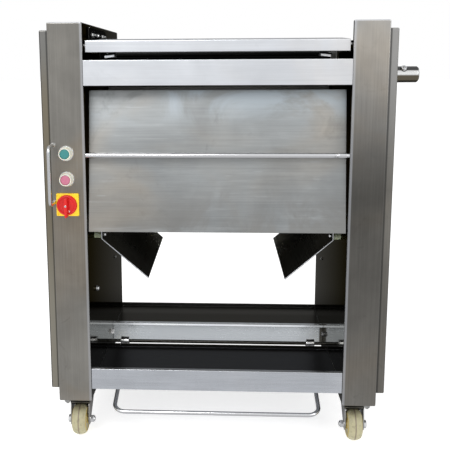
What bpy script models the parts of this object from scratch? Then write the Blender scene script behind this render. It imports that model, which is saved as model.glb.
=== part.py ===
"""Open-top skinning machine on castors: stainless sheet housings, hinged feed
table, toothed roller, blade, crate trays, foot pedal.  Metres, +Z up.
Origin: on the floor, at the middle of the overall footprint.
+X to the operator's right, +Y away from the operator.
The dimensions below are laid out from the housings' centre plane (X = 0) and
their front faces (Y = 0); the last step moves the origin to the middle."""
import math
import bpy
import bmesh
from mathutils import Vector, Matrix

for old in list(bpy.data.objects):
    bpy.data.objects.remove(old, do_unlink=True)

# ---------------------------------------------------------------- dimensions
GAP = 0.0003            # clearance between neighbouring pieces
HALF_OUT = 0.370        # outer face of a housing
HALF_IN = 0.2925        # inner wall face of a housing
DEPTH = 0.551           # housing depth
FOOT_Z = 0.109          # housing underside, the castor build height
TOP_Z = 0.984           # housing top
STEP_Y = 0.100          # right housing: behind this depth it is lower
STEP_Z = 0.942
SHEET = 0.0025          # housing sheet
BEND = 0.0035           # outer bend radius of the housings
COVER_OUT = 0.394       # outer face of a side cover
COVER_Y0, COVER_Y1 = 0.028, 0.540
COVER_Z0, COVER_Z1 = 0.129, 0.968
COVER_SHEET = 0.002
BEAM_Z0, BEAM_Z1 = 0.8465, 0.9025
TABLE_HALF = 0.288
TABLE_Y0 = 0.012
HINGE_Y, HINGE_Z = 0.020, 0.934
PANEL_HALF = 0.2885
PANEL_TOP = (0.050, 0.836)
PANEL_BOT = (0.000, 0.519)
ROLLER_Y, ROLLER_Z, ROLLER_R = 0.235, 0.880, 0.042
ROLLER_TEETH = 36
MOTOR_Y, MOTOR_Z, MOTOR_R = 0.462, 0.690, 0.056
PULLEY_BIG, PULLEY_SMALL = 0.045, 0.030
PULLEY_X0, PULLEY_X1 = 0.318, 0.342
SHAFT_Y, SHAFT_Z, SHAFT_R = 0.120, 0.867, 0.010
HUB_R, HUB_X1 = 0.0183, 0.4595
BAR_Y, BAR_Z, BAR_R = 0.006, 0.693, 0.006
BUTTON_X = -0.335
START_Z, STOP_Z, SWITCH_Z = 0.698, 0.640, 0.582
PEDAL_Y, PEDAL_Z = 0.277, 0.1545
PEDAL_SHAFT_R = 0.0045
PEDAL_ROD = 0.005
PEDAL_ARM_X = 0.246
WHEEL_R, WHEEL_W = 0.0375, 0.0365
CASTOR_X = 0.331
CASTOR_OFFSET = 0.033
CASTOR_FRONT_Y, CASTOR_REAR_Y = 0.089, 0.478

# ---------------------------------------------------------------- materials
def make_material(name, colour, rough, metal):
    m = bpy.data.materials.new(name)
    m.use_nodes = True
    b = m.node_tree.nodes["Principled BSDF"]
    b.inputs["Base Color"].default_value = (*colour, 1)
    b.inputs["Roughness"].default_value = rough
    b.inputs["Metallic"].default_value = metal
    return m

STEEL = ((0.52, 0.50, 0.47), 0.38, 1.0)
BRIGHT = ((0.72, 0.73, 0.74), 0.30, 1.0)
POLISH = ((0.80, 0.80, 0.80), 0.15, 1.0)
NYLON = ((0.72, 0.70, 0.50), 0.45, 0.0)
RED = ((0.75, 0.03, 0.02), 0.35, 0.0)
YELLOW = ((0.95, 0.62, 0.02), 0.40, 0.0)
GREEN = ((0.10, 0.42, 0.34), 0.40, 0.0)
PINK = ((0.72, 0.16, 0.16), 0.40, 0.0)
BOOT = ((0.72, 0.74, 0.66), 0.35, 0.0)
BLACK = ((0.03, 0.03, 0.03), 0.60, 0.0)
GREY = ((0.25, 0.27, 0.29), 0.50, 0.4)
WHITE = ((0.80, 0.84, 0.76), 0.40, 0.0)

# ---------------------------------------------------------------- builders
def add(name, bm, look, origin=(0, 0, 0), parent=None, smooth=None):
    """Finish a bmesh given in world space: origin moved to a chosen point."""
    bmesh.ops.recalc_face_normals(bm, faces=bm.faces)
    bmesh.ops.translate(bm, verts=bm.verts, vec=-Vector(origin))
    me = bpy.data.meshes.new(name)
    bm.to_mesh(me)
    bm.free()
    ob = bpy.data.objects.new(name, me)
    bpy.context.scene.collection.objects.link(ob)
    ob.location = origin
    if smooth:
        me.shade_smooth()
        me.set_sharp_from_angle(angle=math.radians(smooth))
    me.materials.append(make_material(name + "_finish", *look))
    if parent:
        pivot = bpy.data.objects[parent]
        bpy.context.view_layer.update()
        ob.parent = pivot
        ob.matrix_parent_inverse = pivot.matrix_world.inverted()
    return ob

def pivot(name, at, parent=None):
    e = bpy.data.objects.new(name, None)
    e.location = at
    bpy.context.scene.collection.objects.link(e)
    if parent:
        bpy.context.view_layer.update()
        e.parent = bpy.data.objects[parent]
        e.matrix_parent_inverse = bpy.data.objects[parent].matrix_world.inverted()
    bpy.context.view_layer.update()
    return e

def brick(lo, hi):
    bm = bmesh.new()
    bmesh.ops.create_cube(bm, size=1)
    for v in bm.verts:
        v.co = Vector([(a + b) / 2 + c * (b - a) for a, b, c in zip(lo, hi, v.co)])
    return bm

AXES = {"X": (Vector((0, 1, 0)), Vector((0, 0, 1)), Vector((1, 0, 0))),
        "Y": (Vector((1, 0, 0)), Vector((0, 0, 1)), Vector((0, 1, 0))),
        "Z": (Vector((1, 0, 0)), Vector((0, 1, 0)), Vector((0, 0, 1)))}

def prism(points, axis, a, b):
    """Closed outline in the plane across axis, extruded from a to b."""
    u, v, w = AXES[axis]
    bm = bmesh.new()
    face = bm.faces.new([bm.verts.new(u * p[0] + v * p[1] + w * a) for p in points])
    out = bmesh.ops.extrude_face_region(bm, geom=[face])
    verts = [g for g in out["geom"] if isinstance(g, bmesh.types.BMVert)]
    bmesh.ops.translate(bm, verts=verts, vec=w * (b - a))
    return bm

def turned(profile, axis, centre, steps=32):
    """Profile of (radius, along) from axis to axis, spun about an axis."""
    u, v, w = AXES[axis]
    c = Vector(centre)
    bm = bmesh.new()
    row = [bm.verts.new(c + u * r + w * h) for r, h in profile]
    edges = [bm.edges.new(p) for p in zip(row, row[1:])]
    if profile[0] != profile[-1] and profile[0][0] > 1e-7:
        edges.append(bm.edges.new((row[-1], row[0])))
    bmesh.ops.spin(bm, geom=row + edges, cent=c, axis=w, dvec=(0, 0, 0),
                   angle=math.tau, steps=steps, use_merge=True)
    bmesh.ops.remove_doubles(bm, verts=bm.verts, dist=0.00002)
    return bm

def rod_along(path, radius, sides=12):
    """Round rod swept along a smooth path, with flat end faces."""
    bm = bmesh.new()
    rings = []
    pts = [Vector(p) for p in path]
    normal = None
    for i, p in enumerate(pts):
        t = (pts[min(i + 1, len(pts) - 1)] - pts[max(i - 1, 0)]).normalized()
        if normal is None:
            normal = t.orthogonal().normalized()
        normal = (normal - t * normal.dot(t)).normalized()
        side = t.cross(normal)
        rings.append([bm.verts.new(p + (normal * math.cos(k * math.tau / sides)
                      + side * math.sin(k * math.tau / sides)) * radius)
                      for k in range(sides)])
    for a, b in zip(rings, rings[1:]):
        for k in range(sides):
            bm.faces.new((a[k], a[(k + 1) % sides], b[(k + 1) % sides], b[k]))
    bm.faces.new(rings[0][::-1])
    bm.faces.new(rings[-1])
    return bm

def rounded_path(corners, radius, steps=6):
    """Polyline whose inner corners are replaced with arcs."""
    pts = [Vector(c) for c in corners]
    out = [pts[0]]
    for a, b, c in zip(pts, pts[1:], pts[2:]):
        u, v = (a - b).normalized(), (c - b).normalized()
        half = u.angle(v) / 2
        reach = radius / math.tan(half)
        centre = b + (u + v).normalized() * (radius / math.sin(half))
        s, e = b + u * reach - centre, b + v * reach - centre
        for k in range(steps + 1):
            f = k / steps
            w = math.pi - 2 * half
            out.append(centre + (s * math.sin((1 - f) * w) + e * math.sin(f * w)) / math.sin(w))
    out.append(pts[-1])
    return out

def cut(ob, name, bm):
    me = bpy.data.meshes.new(name)
    bmesh.ops.recalc_face_normals(bm, faces=bm.faces)
    bm.to_mesh(me)
    bm.free()
    tool = bpy.data.objects.new(name, me)
    bpy.context.scene.collection.objects.link(tool)
    tool.hide_render = True
    tool.display_type = "WIRE"
    mod = ob.modifiers.new(name, "BOOLEAN")
    mod.operation = "DIFFERENCE"
    mod.solver = "EXACT"
    mod.object = tool
    return tool

def join(ob, name, bm):
    """Boolean union of a second solid into an object."""
    tool = cut(ob, name, bm)
    ob.modifiers[-1].operation = "UNION"
    return tool

def soften(bm, width, segments=2, angle=30, only=None):
    """Round the sharp edges of a bmesh."""
    edges = [e for e in bm.edges if len(e.link_faces) == 2
             and e.calc_face_angle(0) > math.radians(angle) and (only is None or only(e))]
    bmesh.ops.bevel(bm, geom=edges, offset=width, segments=segments, profile=0.5,
                    affect="EDGES", clamp_overlap=True)
    return bm

def side(sign, lo, hi):
    """Order two X positions for the left (-1) or right (+1) half."""
    return (lo, hi) if sign > 0 else (-hi, -lo)

def outline_inset(pts, d):
    """Move every edge of a counter-clockwise outline inwards by d."""
    n = len(pts)
    out = []
    for i in range(n):
        p0, p1, p2 = (Vector((*pts[(i + k - 1) % n], 0)) for k in range(3))
        e1, e2 = (p1 - p0).normalized(), (p2 - p1).normalized()
        n1, n2 = Vector((-e1.y, e1.x, 0)), Vector((-e2.y, e2.x, 0))
        out.append(tuple((p1 + (n1 + n2) * d / (1 + n1.dot(n2)))[:2]))
    return out

def folded(centre_line, t):
    """Sheet of thickness t following a centre line in a plane (an open profile)."""
    pts = [Vector((*p, 0)) for p in centre_line]
    a, b = [], []
    for i, p in enumerate(pts):
        d1 = (p - pts[i - 1]).normalized() if i else (pts[1] - p).normalized()
        d2 = (pts[i + 1] - p).normalized() if i + 1 < len(pts) else d1
        n1, n2 = Vector((-d1.y, d1.x, 0)), Vector((-d2.y, d2.x, 0))
        off = (n1 + n2) * (t / 2) / (1 + n1.dot(n2))
        a.append(tuple((p + off)[:2]))
        b.append(tuple((p - off)[:2]))
    return a + b[::-1]

def arc(cy, cz, r, a0, a1, steps):
    return [(cy + r * math.cos(math.radians(a0 + (a1 - a0) * k / steps)),
             cz + r * math.sin(math.radians(a0 + (a1 - a0) * k / steps)))
            for k in range(steps + 1)]

# ---------------------------------------------------------------- housings
LEFT_OUTLINE = [(0, FOOT_Z), (DEPTH, FOOT_Z), (DEPTH, TOP_Z), (0, TOP_Z)]
RIGHT_OUTLINE = [(0, FOOT_Z), (DEPTH, FOOT_Z), (DEPTH, STEP_Z), (STEP_Y, STEP_Z),
                 (STEP_Y, TOP_Z), (0, TOP_Z)]

NOTCH_Y, NOTCH_X = 0.012, 0.3125     # inner corner of the right housing, cut back for the table

def housing(name, sign, outline):
    bm = soften(prism(outline, "X", *side(sign, HALF_IN, HALF_OUT)), BEND, 3)
    ob = add(name, bm, STEEL, smooth=35)
    if sign < 0:
        cut(ob, name + "_hollow", prism(outline_inset(outline, SHEET), "X",
                                        *side(sign, HALF_IN + SHEET, HALF_OUT - SHEET)))
    else:
        cut(ob, name + "_notch", brick((HALF_IN - 0.01, NOTCH_Y, STEP_Z), (NOTCH_X, STEP_Y + 0.01, TOP_Z + 0.01)))
        cut(ob, name + "_hollow_low", brick((HALF_IN + SHEET, SHEET, FOOT_Z + SHEET),
                                            (HALF_OUT - SHEET, DEPTH - SHEET, STEP_Z - SHEET)))
        cut(ob, name + "_hollow_high", brick((NOTCH_X + SHEET, SHEET, STEP_Z - 0.02),
                                             (HALF_OUT - SHEET, STEP_Y - SHEET, TOP_Z - SHEET)))
    window = outline_inset(outline, 0.045)
    cut(ob, name + "_window", prism(window, "X", *side(sign, HALF_OUT - 2 * SHEET, HALF_OUT + 0.01)))
    return ob

def bore(ob, name, axis, centre, r, a, b, steps=24):
    cut(ob, name, turned([(0, a), (r, a), (r, b), (0, b)], axis, centre, steps))

left = housing("left_housing", -1, LEFT_OUTLINE)
right = housing("right_housing", 1, RIGHT_OUTLINE)
for ob, s, tag in ((left, -1, "l"), (right, 1, "r")):
    a, b = side(s, HALF_IN - 0.01, HALF_IN + 0.01)
    bore(ob, "journal_hole_" + tag, "X", (0, ROLLER_Y, ROLLER_Z), 0.0215, a, b)
bore(right, "motor_shaft_hole", "X", (0, MOTOR_Y, MOTOR_Z), 0.013, HALF_IN - 0.01, HALF_IN + 0.01)
bore(right, "adjust_shaft_hole", "X", (0, SHAFT_Y, SHAFT_Z), SHAFT_R + 0.0005,
     HALF_IN - 0.01, HALF_IN + 0.01)
for z, tag in ((START_Z, "start"), (STOP_Z, "stop"), (SWITCH_Z, "switch")):
    bore(left, tag + "_hole", "Y", (BUTTON_X, 0, z), 0.006, -0.01, 0.01)

def side_cover(name, sign, step):
    outline = [(COVER_Y0, COVER_Z0), (COVER_Y1, COVER_Z0), (COVER_Y1, COVER_Z1),
               (COVER_Y0, COVER_Z1)]
    if step:
        outline = outline[:2] + [(COVER_Y1, COVER_Z1 - (TOP_Z - STEP_Z)),
                                 (STEP_Y - 0.012, COVER_Z1 - (TOP_Z - STEP_Z)),
                                 (STEP_Y - 0.012, COVER_Z1), (COVER_Y0, COVER_Z1)]
    x0, x1 = HALF_OUT + GAP, COVER_OUT
    bm = soften(prism(outline, "X", *side(sign, x0, x1)), 0.003, 3,
                only=lambda e: max(abs(v.co.x) for v in e.verts) > x0 + 0.001)
    ob = add(name, bm, STEEL, smooth=35)
    cut(ob, name + "_hollow", prism(outline_inset(outline, COVER_SHEET), "X",
                                    *side(sign, x0 - 0.01, x1 - COVER_SHEET)))
    return ob

side_cover("left_side_cover", -1, False)
rc = side_cover("right_side_cover", 1, True)
bore(rc, "hub_hole", "X", (0, SHAFT_Y, SHAFT_Z), HUB_R + 0.0006, COVER_OUT - 0.01, COVER_OUT + 0.01, 32)

# ---------------------------------------------------------------- front face
WALL = HALF_IN - GAP
beam_line = [(0.042, BEAM_Z0 + 0.0015), (0.0015, BEAM_Z0 + 0.0015),
             (0.0015, BEAM_Z1 - 0.0015), (0.042, BEAM_Z1 - 0.0015)]
add("cross_beam", soften(prism(folded(beam_line, 0.003), "X", -WALL, WALL), 0.0012, 2,
    only=lambda e: all(v.co.y < 0.002 and abs(v.co.x) < WALL + 1 for v in e.verts)
    and abs(e.verts[0].co.x - e.verts[1].co.x) > 0.1), BRIGHT, smooth=35)

ty, tz = PANEL_TOP
by, bz = PANEL_BOT
panel_line = [(ty + 0.0150, tz - 0.0040), (ty + 0.0012, tz - 0.0015),
              (by + 0.0012, bz + 0.0015), (by + 0.0150, bz + 0.0040)]
add("front_panel", prism(folded(panel_line, 0.0024), "X", -PANEL_HALF, PANEL_HALF), STEEL)

add("panel_bar", rod_along([(-WALL, BAR_Y, BAR_Z), (0.2605, BAR_Y, BAR_Z)], BAR_R, 16),
    POLISH, smooth=40)
pivot("bar_sleeve_axis", (0.262, BAR_Y, BAR_Z))
add("bar_sleeve", turned([(0, 0), (BAR_R - 0.001, 0), (BAR_R, 0.001), (BAR_R, 0.0185),
    (BAR_R - 0.0005, 0.0195), (BAR_R - 0.0012, 0.0205), (BAR_R - 0.0012, WALL - 0.261),
    (0, WALL - 0.261)], "X", (0.261, BAR_Y, BAR_Z), 16), POLISH,
    origin=(0.262, BAR_Y, BAR_Z), parent="bar_sleeve_axis", smooth=40)

# ---------------------------------------------------------------- feed table
pivot("table_axis", (0, HINGE_Y, HINGE_Z))
table_line = [(TABLE_Y0 + 0.010, 0.9205), (TABLE_Y0 + 0.0015, 0.9205), (TABLE_Y0 + 0.0015, 0.9435),
              (0.131, 0.9498), (0.186, 0.9360)]
table = add("top_table", soften(prism(folded(table_line, 0.003), "X", -TABLE_HALF, TABLE_HALF),
    0.0014, 2, only=lambda e: all(v.co.y < TABLE_Y0 + 0.001 for v in e.verts)
    and abs(e.verts[0].co.x - e.verts[1].co.x) > 0.1), BRIGHT,
    origin=(0, HINGE_Y, HINGE_Z), parent="table_axis", smooth=25)
for s, tag in ((-1, "left"), (1, "right")):
    a, b = side(s, TABLE_HALF + GAP, WALL)
    add("table_pin_" + tag, turned([(0, a), (0.0028, a), (0.0028, b), (0, b)], "X",
        (0, HINGE_Y, HINGE_Z), 12), POLISH, origin=(0, HINGE_Y, HINGE_Z), parent="table_axis", smooth=40)
for s, tag in ((-1, "left"), (1, "right")):
    # catch: a strap down from the table's underside with a nose that leans outwards
    a, b = side(s, 0.2290, 0.2510)
    join(table, "catch_strap_" + tag, prism(folded([(0.0900, 0.9470), (0.0900, 0.9095), (0.0500, 0.9095)], 0.0022),
         "X", a + 0.002, b - 0.002))
    nose = [(0.2290, 0.9095), (0.2510, 0.9070), (0.2510, 0.9122), (0.2290, 0.9147)]
    nose = [(s * x, z) for x, z in nose]
    join(table, "catch_nose_" + tag, prism(nose, "Y", 0.0460, 0.0530))

# the left edge is notched so that it passes the bracket's screw when it is lifted
cut(table, "table_notch", brick((-0.300, 0.070, 0.930), (-0.2740, 0.200, 0.970)))

# ---------------------------------------------------------------- roller and blade
pivot("roller_axis", (0, ROLLER_Y, ROLLER_Z))
teeth = []
for k in range(ROLLER_TEETH):
    for f, r in ((0.0, ROLLER_R - 0.0022), (0.30, ROLLER_R - 0.0022), (0.42, ROLLER_R), (0.72, ROLLER_R)):
        t = math.tau * (k + f) / ROLLER_TEETH
        teeth.append((ROLLER_Y + r * math.cos(t), ROLLER_Z + r * math.sin(t)))
drum = prism(teeth, "X", -0.270, 0.270)
drum_ob = add("feed_roller", drum, STEEL, origin=(0, ROLLER_Y, ROLLER_Z), parent="roller_axis", smooth=20)
join(drum_ob, "roller_journals", turned([(0, -0.300), (0.0125, -0.300), (0.0125, 0.3435), (0, 0.3435)],
     "X", (0, ROLLER_Y, ROLLER_Z), 24))

def pulley(name, r, hole, y, z, parent):
    w = PULLEY_X1 - PULLEY_X0
    add(name, turned([(hole, 0), (r + 0.003, 0), (r + 0.003, 0.0018), (r, 0.0022), (r, w - 0.0022),
        (r + 0.003, w - 0.0018), (r + 0.003, w), (hole, w)], "X", (PULLEY_X0, y, z), 24),
        GREY, origin=(PULLEY_X0, y, z), parent=parent, smooth=40)

pulley("roller_pulley", PULLEY_BIG, 0.0125 + GAP, ROLLER_Y, ROLLER_Z, "roller_axis")
pivot("motor_axis", (0, MOTOR_Y, MOTOR_Z))
pulley("motor_pulley", PULLEY_SMALL, 0.009 + GAP, MOTOR_Y, MOTOR_Z, "motor_axis")
add("motor_shaft", turned([(0, 0.2925), (0.009, 0.2925), (0.009, 0.3435), (0, 0.3435)], "X",
    (0, MOTOR_Y, MOTOR_Z), 20), POLISH, origin=(0.2925, MOTOR_Y, MOTOR_Z), parent="motor_axis", smooth=40)

def belt_loop(extra, steps=14):
    """Outline round both pulleys, larger than them by extra."""
    a = Vector((ROLLER_Y, ROLLER_Z))
    b = Vector((MOTOR_Y, MOTOR_Z))
    d = b - a
    base = math.atan2(d.y, d.x)
    lean = math.acos((PULLEY_BIG - PULLEY_SMALL) / d.length)
    pts = []
    for c, r, a0, a1 in ((a, PULLEY_BIG, base + lean, base + math.tau - lean),
                         (b, PULLEY_SMALL, base - lean, base + lean)):
        pts += [(c.x + (r + extra) * math.cos(a0 + (a1 - a0) * k / steps),
                 c.y + (r + extra) * math.sin(a0 + (a1 - a0) * k / steps)) for k in range(steps + 1)]
    return pts

def ring_prism(outer, inner, a, b):
    """Endless band between two loops of equal point count, across X from a to b."""
    bm = bmesh.new()
    n = len(outer)
    vs = [[bm.verts.new((x, *p)) for p in loop] for loop in (outer, inner) for x in (a, b)]
    oa, ob_, ia, ib = vs
    for k in range(n):
        j = (k + 1) % n
        bm.faces.new((oa[k], oa[j], ob_[j], ob_[k]))
        bm.faces.new((ia[j], ia[k], ib[k], ib[j]))
        bm.faces.new((oa[j], oa[k], ia[k], ia[j]))
        bm.faces.new((ob_[k], ob_[j], ib[j], ib[k]))
    return bm

add("drive_belt", ring_prism(belt_loop(0.0042), belt_loop(0.0010), PULLEY_X0 + 0.0030, PULLEY_X1 - 0.0030),
    BLACK, smooth=40)

add("gear_motor", turned([(0, 0.020), (0.040, 0.020), (0.046, 0.026), (0.046, 0.150), (0.048, 0.152),
    (MOTOR_R, 0.154), (MOTOR_R, 0.2700), (0.062, 0.2702), (0.062, WALL), (0.0115, WALL),
    (0.0115, 0.2915), (0, 0.2915)], "X", (0, MOTOR_Y, MOTOR_Z), 24), GREY, smooth=35)

for s, tag in ((-1, "left"), (1, "right")):
    out = HALF_IN + SHEET + GAP
    prof = [(0.0125 + GAP, HALF_IN - 0.010), (0.0205, HALF_IN - 0.010), (0.0205, out),
            (0.034, out), (0.034, out + 0.009), (0.0125 + GAP, out + 0.009)]
    add("roller_bearing_" + tag, turned([(r, h * s) for r, h in prof], "X", (0, ROLLER_Y, ROLLER_Z), 20),
        GREY, smooth=40)

add("blade_holder", prism([(0.268, 0.9195), (0.2830, 0.9050), (0.318, 0.9050), (0.318, 0.9215)],
    "X", -0.284, 0.284), BRIGHT)
add("skinning_blade", prism([(0.2460, 0.9238), (0.2500, 0.9222), (0.3050, 0.92195), (0.3050, 0.9232),
    (0.2520, 0.92345)], "X", -0.276, 0.276), POLISH)
add("outfeed_plate", prism(folded([(0.320, 0.9240), (0.326, 0.9310), (0.500, 0.9110), (0.538, 0.8900)], 0.0025),
    "X", -0.288, 0.288), BRIGHT)

# blade brackets on the inner walls with their clamping screws
add("blade_bracket_left", prism([(0.072, 0.9500), (0.200, 0.9500), (0.230, 0.9030), (0.330, 0.9030), (0.330, 0.9650),
    (0.300, 0.9765), (0.072, 0.9765)], "X", -WALL, -0.2892), STEEL)
add("blade_bracket_right", prism([(0.232, 0.9030), (0.330, 0.9030), (0.330, 0.9360), (0.232, 0.9360)],
    "X", 0.2892, WALL), STEEL)
def hex_bolt(name, x0, reach, y, z, af, look=POLISH, direction=1):
    pts = [(y + af / math.sqrt(3) * math.cos(math.radians(60 * k)),
            z + af / math.sqrt(3) * math.sin(math.radians(60 * k))) for k in range(6)]
    a, b = x0, x0 + reach * direction
    return add(name, soften(prism(pts, "X", a, b), 0.0008, 1), look)
hex_bolt("bracket_bolt_front", -0.2889, 0.0125, 0.100, 0.9585, 0.010)
hex_bolt("bracket_bolt_rear", -0.2889, 0.0125, 0.240, 0.9590, 0.011)

# ---------------------------------------------------------------- hopper
add("hopper_back", prism(folded([(0.318, 0.8700), (0.326, 0.8620), (0.4065, 0.5160), (0.4210, 0.5120)], 0.0025),
    "X", -PANEL_HALF, PANEL_HALF), STEEL)
add("rear_cover", prism(folded([(0.527, 0.8780), (0.5490, 0.8780), (0.5490, 0.4500), (0.527, 0.4500)], 0.0025),
    "X", -WALL, WALL), STEEL)

for s, tag in ((-1, "left"), (1, "right")):
    line = [(0.2710 * s, 0.5080), (0.2710 * s, 0.4870), (0.1610 * s, 0.3920)]
    add(tag + "_deflector", prism(folded(line, 0.0025), "Y", 0.068, 0.490), STEEL)
    a, b = side(s, 0.2710 + 0.0013 + GAP, WALL)
    add("deflector_block_" + tag, turned([(0, a), (0.0085, a), (0.0085, b), (0, b)], "X",
        (0, 0.095, 0.4915), 20), WHITE, smooth=40)

# ---------------------------------------------------------------- crate trays
def tray(name, y0, y1, lip0, lip1, floor0, floor1, back):
    line = [(y0 + 0.012, lip1 - 0.001), (y0 + 0.0015, lip1 - 0.001), (y0 + 0.0015, lip0 + 0.0015),
            (y0 + 0.010, floor0), (y1 - 0.0015, floor1), (y1 - 0.0015, back)]
    add(name, prism(folded(line, 0.0026), "X", -WALL, WALL), BRIGHT, smooth=25)
tray("front_tray", 0.004, 0.2560, 0.1390, 0.1880, 0.1455, 0.1455, 0.1535)
tray("rear_tray", 0.352, 0.5450, 0.1280, 0.1790, 0.1480, 0.1640, 0.1760)

# ---------------------------------------------------------------- foot pedal
pivot("pedal_axis", (0, PEDAL_Y, PEDAL_Z))
ax = PEDAL_ARM_X
arm_y = PEDAL_Y
front = (0.030, 0.0700)
root_z = PEDAL_Z - 0.0125
corners = [(-ax, PEDAL_Y - 0.0005, root_z), (-ax, front[0], front[1]), (ax, front[0], front[1]),
           (ax, PEDAL_Y - 0.0005, root_z)]
pedal = add("pedal_frame", rod_along(rounded_path(corners, 0.028, 6), PEDAL_ROD, 12), POLISH,
            origin=(0, PEDAL_Y, PEDAL_Z), parent="pedal_axis", smooth=40)
for s, tag in ((-1, "left"), (1, "right")):
    join(pedal, "pedal_hub_" + tag, turned([(PEDAL_SHAFT_R + GAP, -0.011), (0.0115, -0.011), (0.0115, 0.011), (PEDAL_SHAFT_R + GAP, 0.011)],
         "X", (s * 0.2485, PEDAL_Y, PEDAL_Z), 24))
add("pedal_shaft", rod_along([(-WALL, PEDAL_Y, PEDAL_Z), (WALL, PEDAL_Y, PEDAL_Z)], PEDAL_SHAFT_R, 16), POLISH, smooth=40)

# ---------------------------------------------------------------- adjusting shaft
pivot("shaft_axis", (0, SHAFT_Y, SHAFT_Z))
so = (0, SHAFT_Y, SHAFT_Z)
add("adjust_shaft", rod_along([(-0.288, SHAFT_Y, SHAFT_Z), (0.3935, SHAFT_Y, SHAFT_Z)], SHAFT_R, 20), POLISH,
    origin=so, parent="shaft_axis", smooth=40)
hub = add("shaft_hub", turned([(0, 0.3940), (HUB_R, 0.3940), (HUB_R, HUB_X1 - 0.0030), (HUB_R - 0.0025, HUB_X1),
    (0, HUB_X1)], "X", so, 32), STEEL, origin=so, parent="shaft_axis", smooth=40)
lean = Vector((0, -math.sin(math.radians(45)), math.cos(math.radians(45))))
def leaning(bm):
    """Turn a solid built on +Z about the shaft by 45 degrees towards the front."""
    bmesh.ops.rotate(bm, verts=bm.verts, cent=Vector(so), matrix=Matrix.Rotation(math.radians(45), 3, "X"))
    return bm
cut(hub, "screw_seat", leaning(turned([(0, 0.0085), (0.0078, 0.0085), (0.0078, 0.03), (0, 0.03)], "Z",
    (0.4245, SHAFT_Y, SHAFT_Z), 24)))
hs = add("hub_screw", leaning(turned([(0, 0.0090), (0.0067, 0.0090), (0.0067, 0.0225), (0.0061, 0.0234), (0, 0.0234)],
    "Z", (0.4245, SHAFT_Y, SHAFT_Z), 24)), POLISH, origin=so, parent="shaft_axis", smooth=40)
hexpts = [(0.4245 + 0.0034 * math.cos(math.radians(60 * k)), SHAFT_Y + 0.0034 * math.sin(math.radians(60 * k)))
          for k in range(6)]
cut(hs, "hex_socket", leaning(prism(hexpts, "Z", SHAFT_Z + 0.0185, SHAFT_Z + 0.03)))
add("stripper_comb", prism([(SHAFT_Y + 0.0108, 0.8640), (0.1800, 0.8640), (0.1870, 0.8665), (0.1800, 0.8680),
    (SHAFT_Y + 0.0108, 0.8720)], "X", -0.266, 0.266), BRIGHT, origin=so, parent="shaft_axis")

# ---------------------------------------------------------------- controls
def push_button(tag, z, look):
    add(tag + "_button_boot", turned([(0.0055, -GAP), (0.0155, -GAP), (0.0158, -0.0030), (0.0146, -0.0065),
        (0.0135, -0.0175), (0.0128, -0.0200), (0.0118, -0.0203), (0.0113, -0.0190), (0.0113, -0.0110),
        (0.0055, -0.0110)], "Y", (BUTTON_X, 0, z), 20), BOOT, smooth=50)
    pivot(tag + "_axis", (BUTTON_X, 0, z))
    add(tag + "_button", turned([(0, -0.0190), (0.0080, -0.0188), (0.0104, -0.0180), (0.0110, -0.0165),
        (0.0110, -0.0155), (0.0049, -0.0155), (0.0049, 0.0250), (0, 0.0250)], "Y", (BUTTON_X, 0, z), 20), look,
        origin=(BUTTON_X, 0, z), parent=tag + "_axis", smooth=50)
push_button("start", START_Z, GREEN)
push_button("stop", STOP_Z, PINK)

plate = add("switch_plate", soften(brick((BUTTON_X - 0.0250, -0.0060, SWITCH_Z - 0.0258),
    (BUTTON_X + 0.0262, -GAP, SWITCH_Z + 0.0258)), 0.0025, 2, only=lambda e: max(v.co.y for v in e.verts) < -0.001
    or abs(e.verts[0].co.y - e.verts[1].co.y) > 0.003), YELLOW, smooth=40)
bore(plate, "switch_plate_hole", "Y", (BUTTON_X, 0, SWITCH_Z), 0.0055, -0.01, 0.01, 20)
pivot("switch_axis", (BUTTON_X, 0, SWITCH_Z))
knob = add("switch_knob", turned([(0, -0.0145), (0.0205, -0.0145), (0.0225, -0.0128), (0.0230, -0.0110), (0.0230, -0.0064),
    (0.0049, -0.0064), (0.0049, 0.0200), (0, 0.0200)], "Y", (BUTTON_X, 0, SWITCH_Z), 36), RED,
    origin=(BUTTON_X, 0, SWITCH_Z), parent="switch_axis", smooth=45)
rib = [(-0.0060, 0.0200), (-0.0065, -0.0190), (-0.0035, -0.0265), (0.0035, -0.0265), (0.0065, -0.0190), (0.0060, 0.0200)]
join(knob, "switch_rib", soften(prism([(BUTTON_X + x, SWITCH_Z + z) for x, z in rib], "Y", -0.0270, -0.0100), 0.0012, 1))

gx = -0.3645
GRIP_Y = -0.0450
add("grab_handle", rod_along(rounded_path([(gx, -GAP, 0.7165), (gx, GRIP_Y, 0.7165), (gx, GRIP_Y, 0.5865),
    (gx, -GAP, 0.5865)], 0.013, 6), 0.0036, 12), POLISH, smooth=40)

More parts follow.
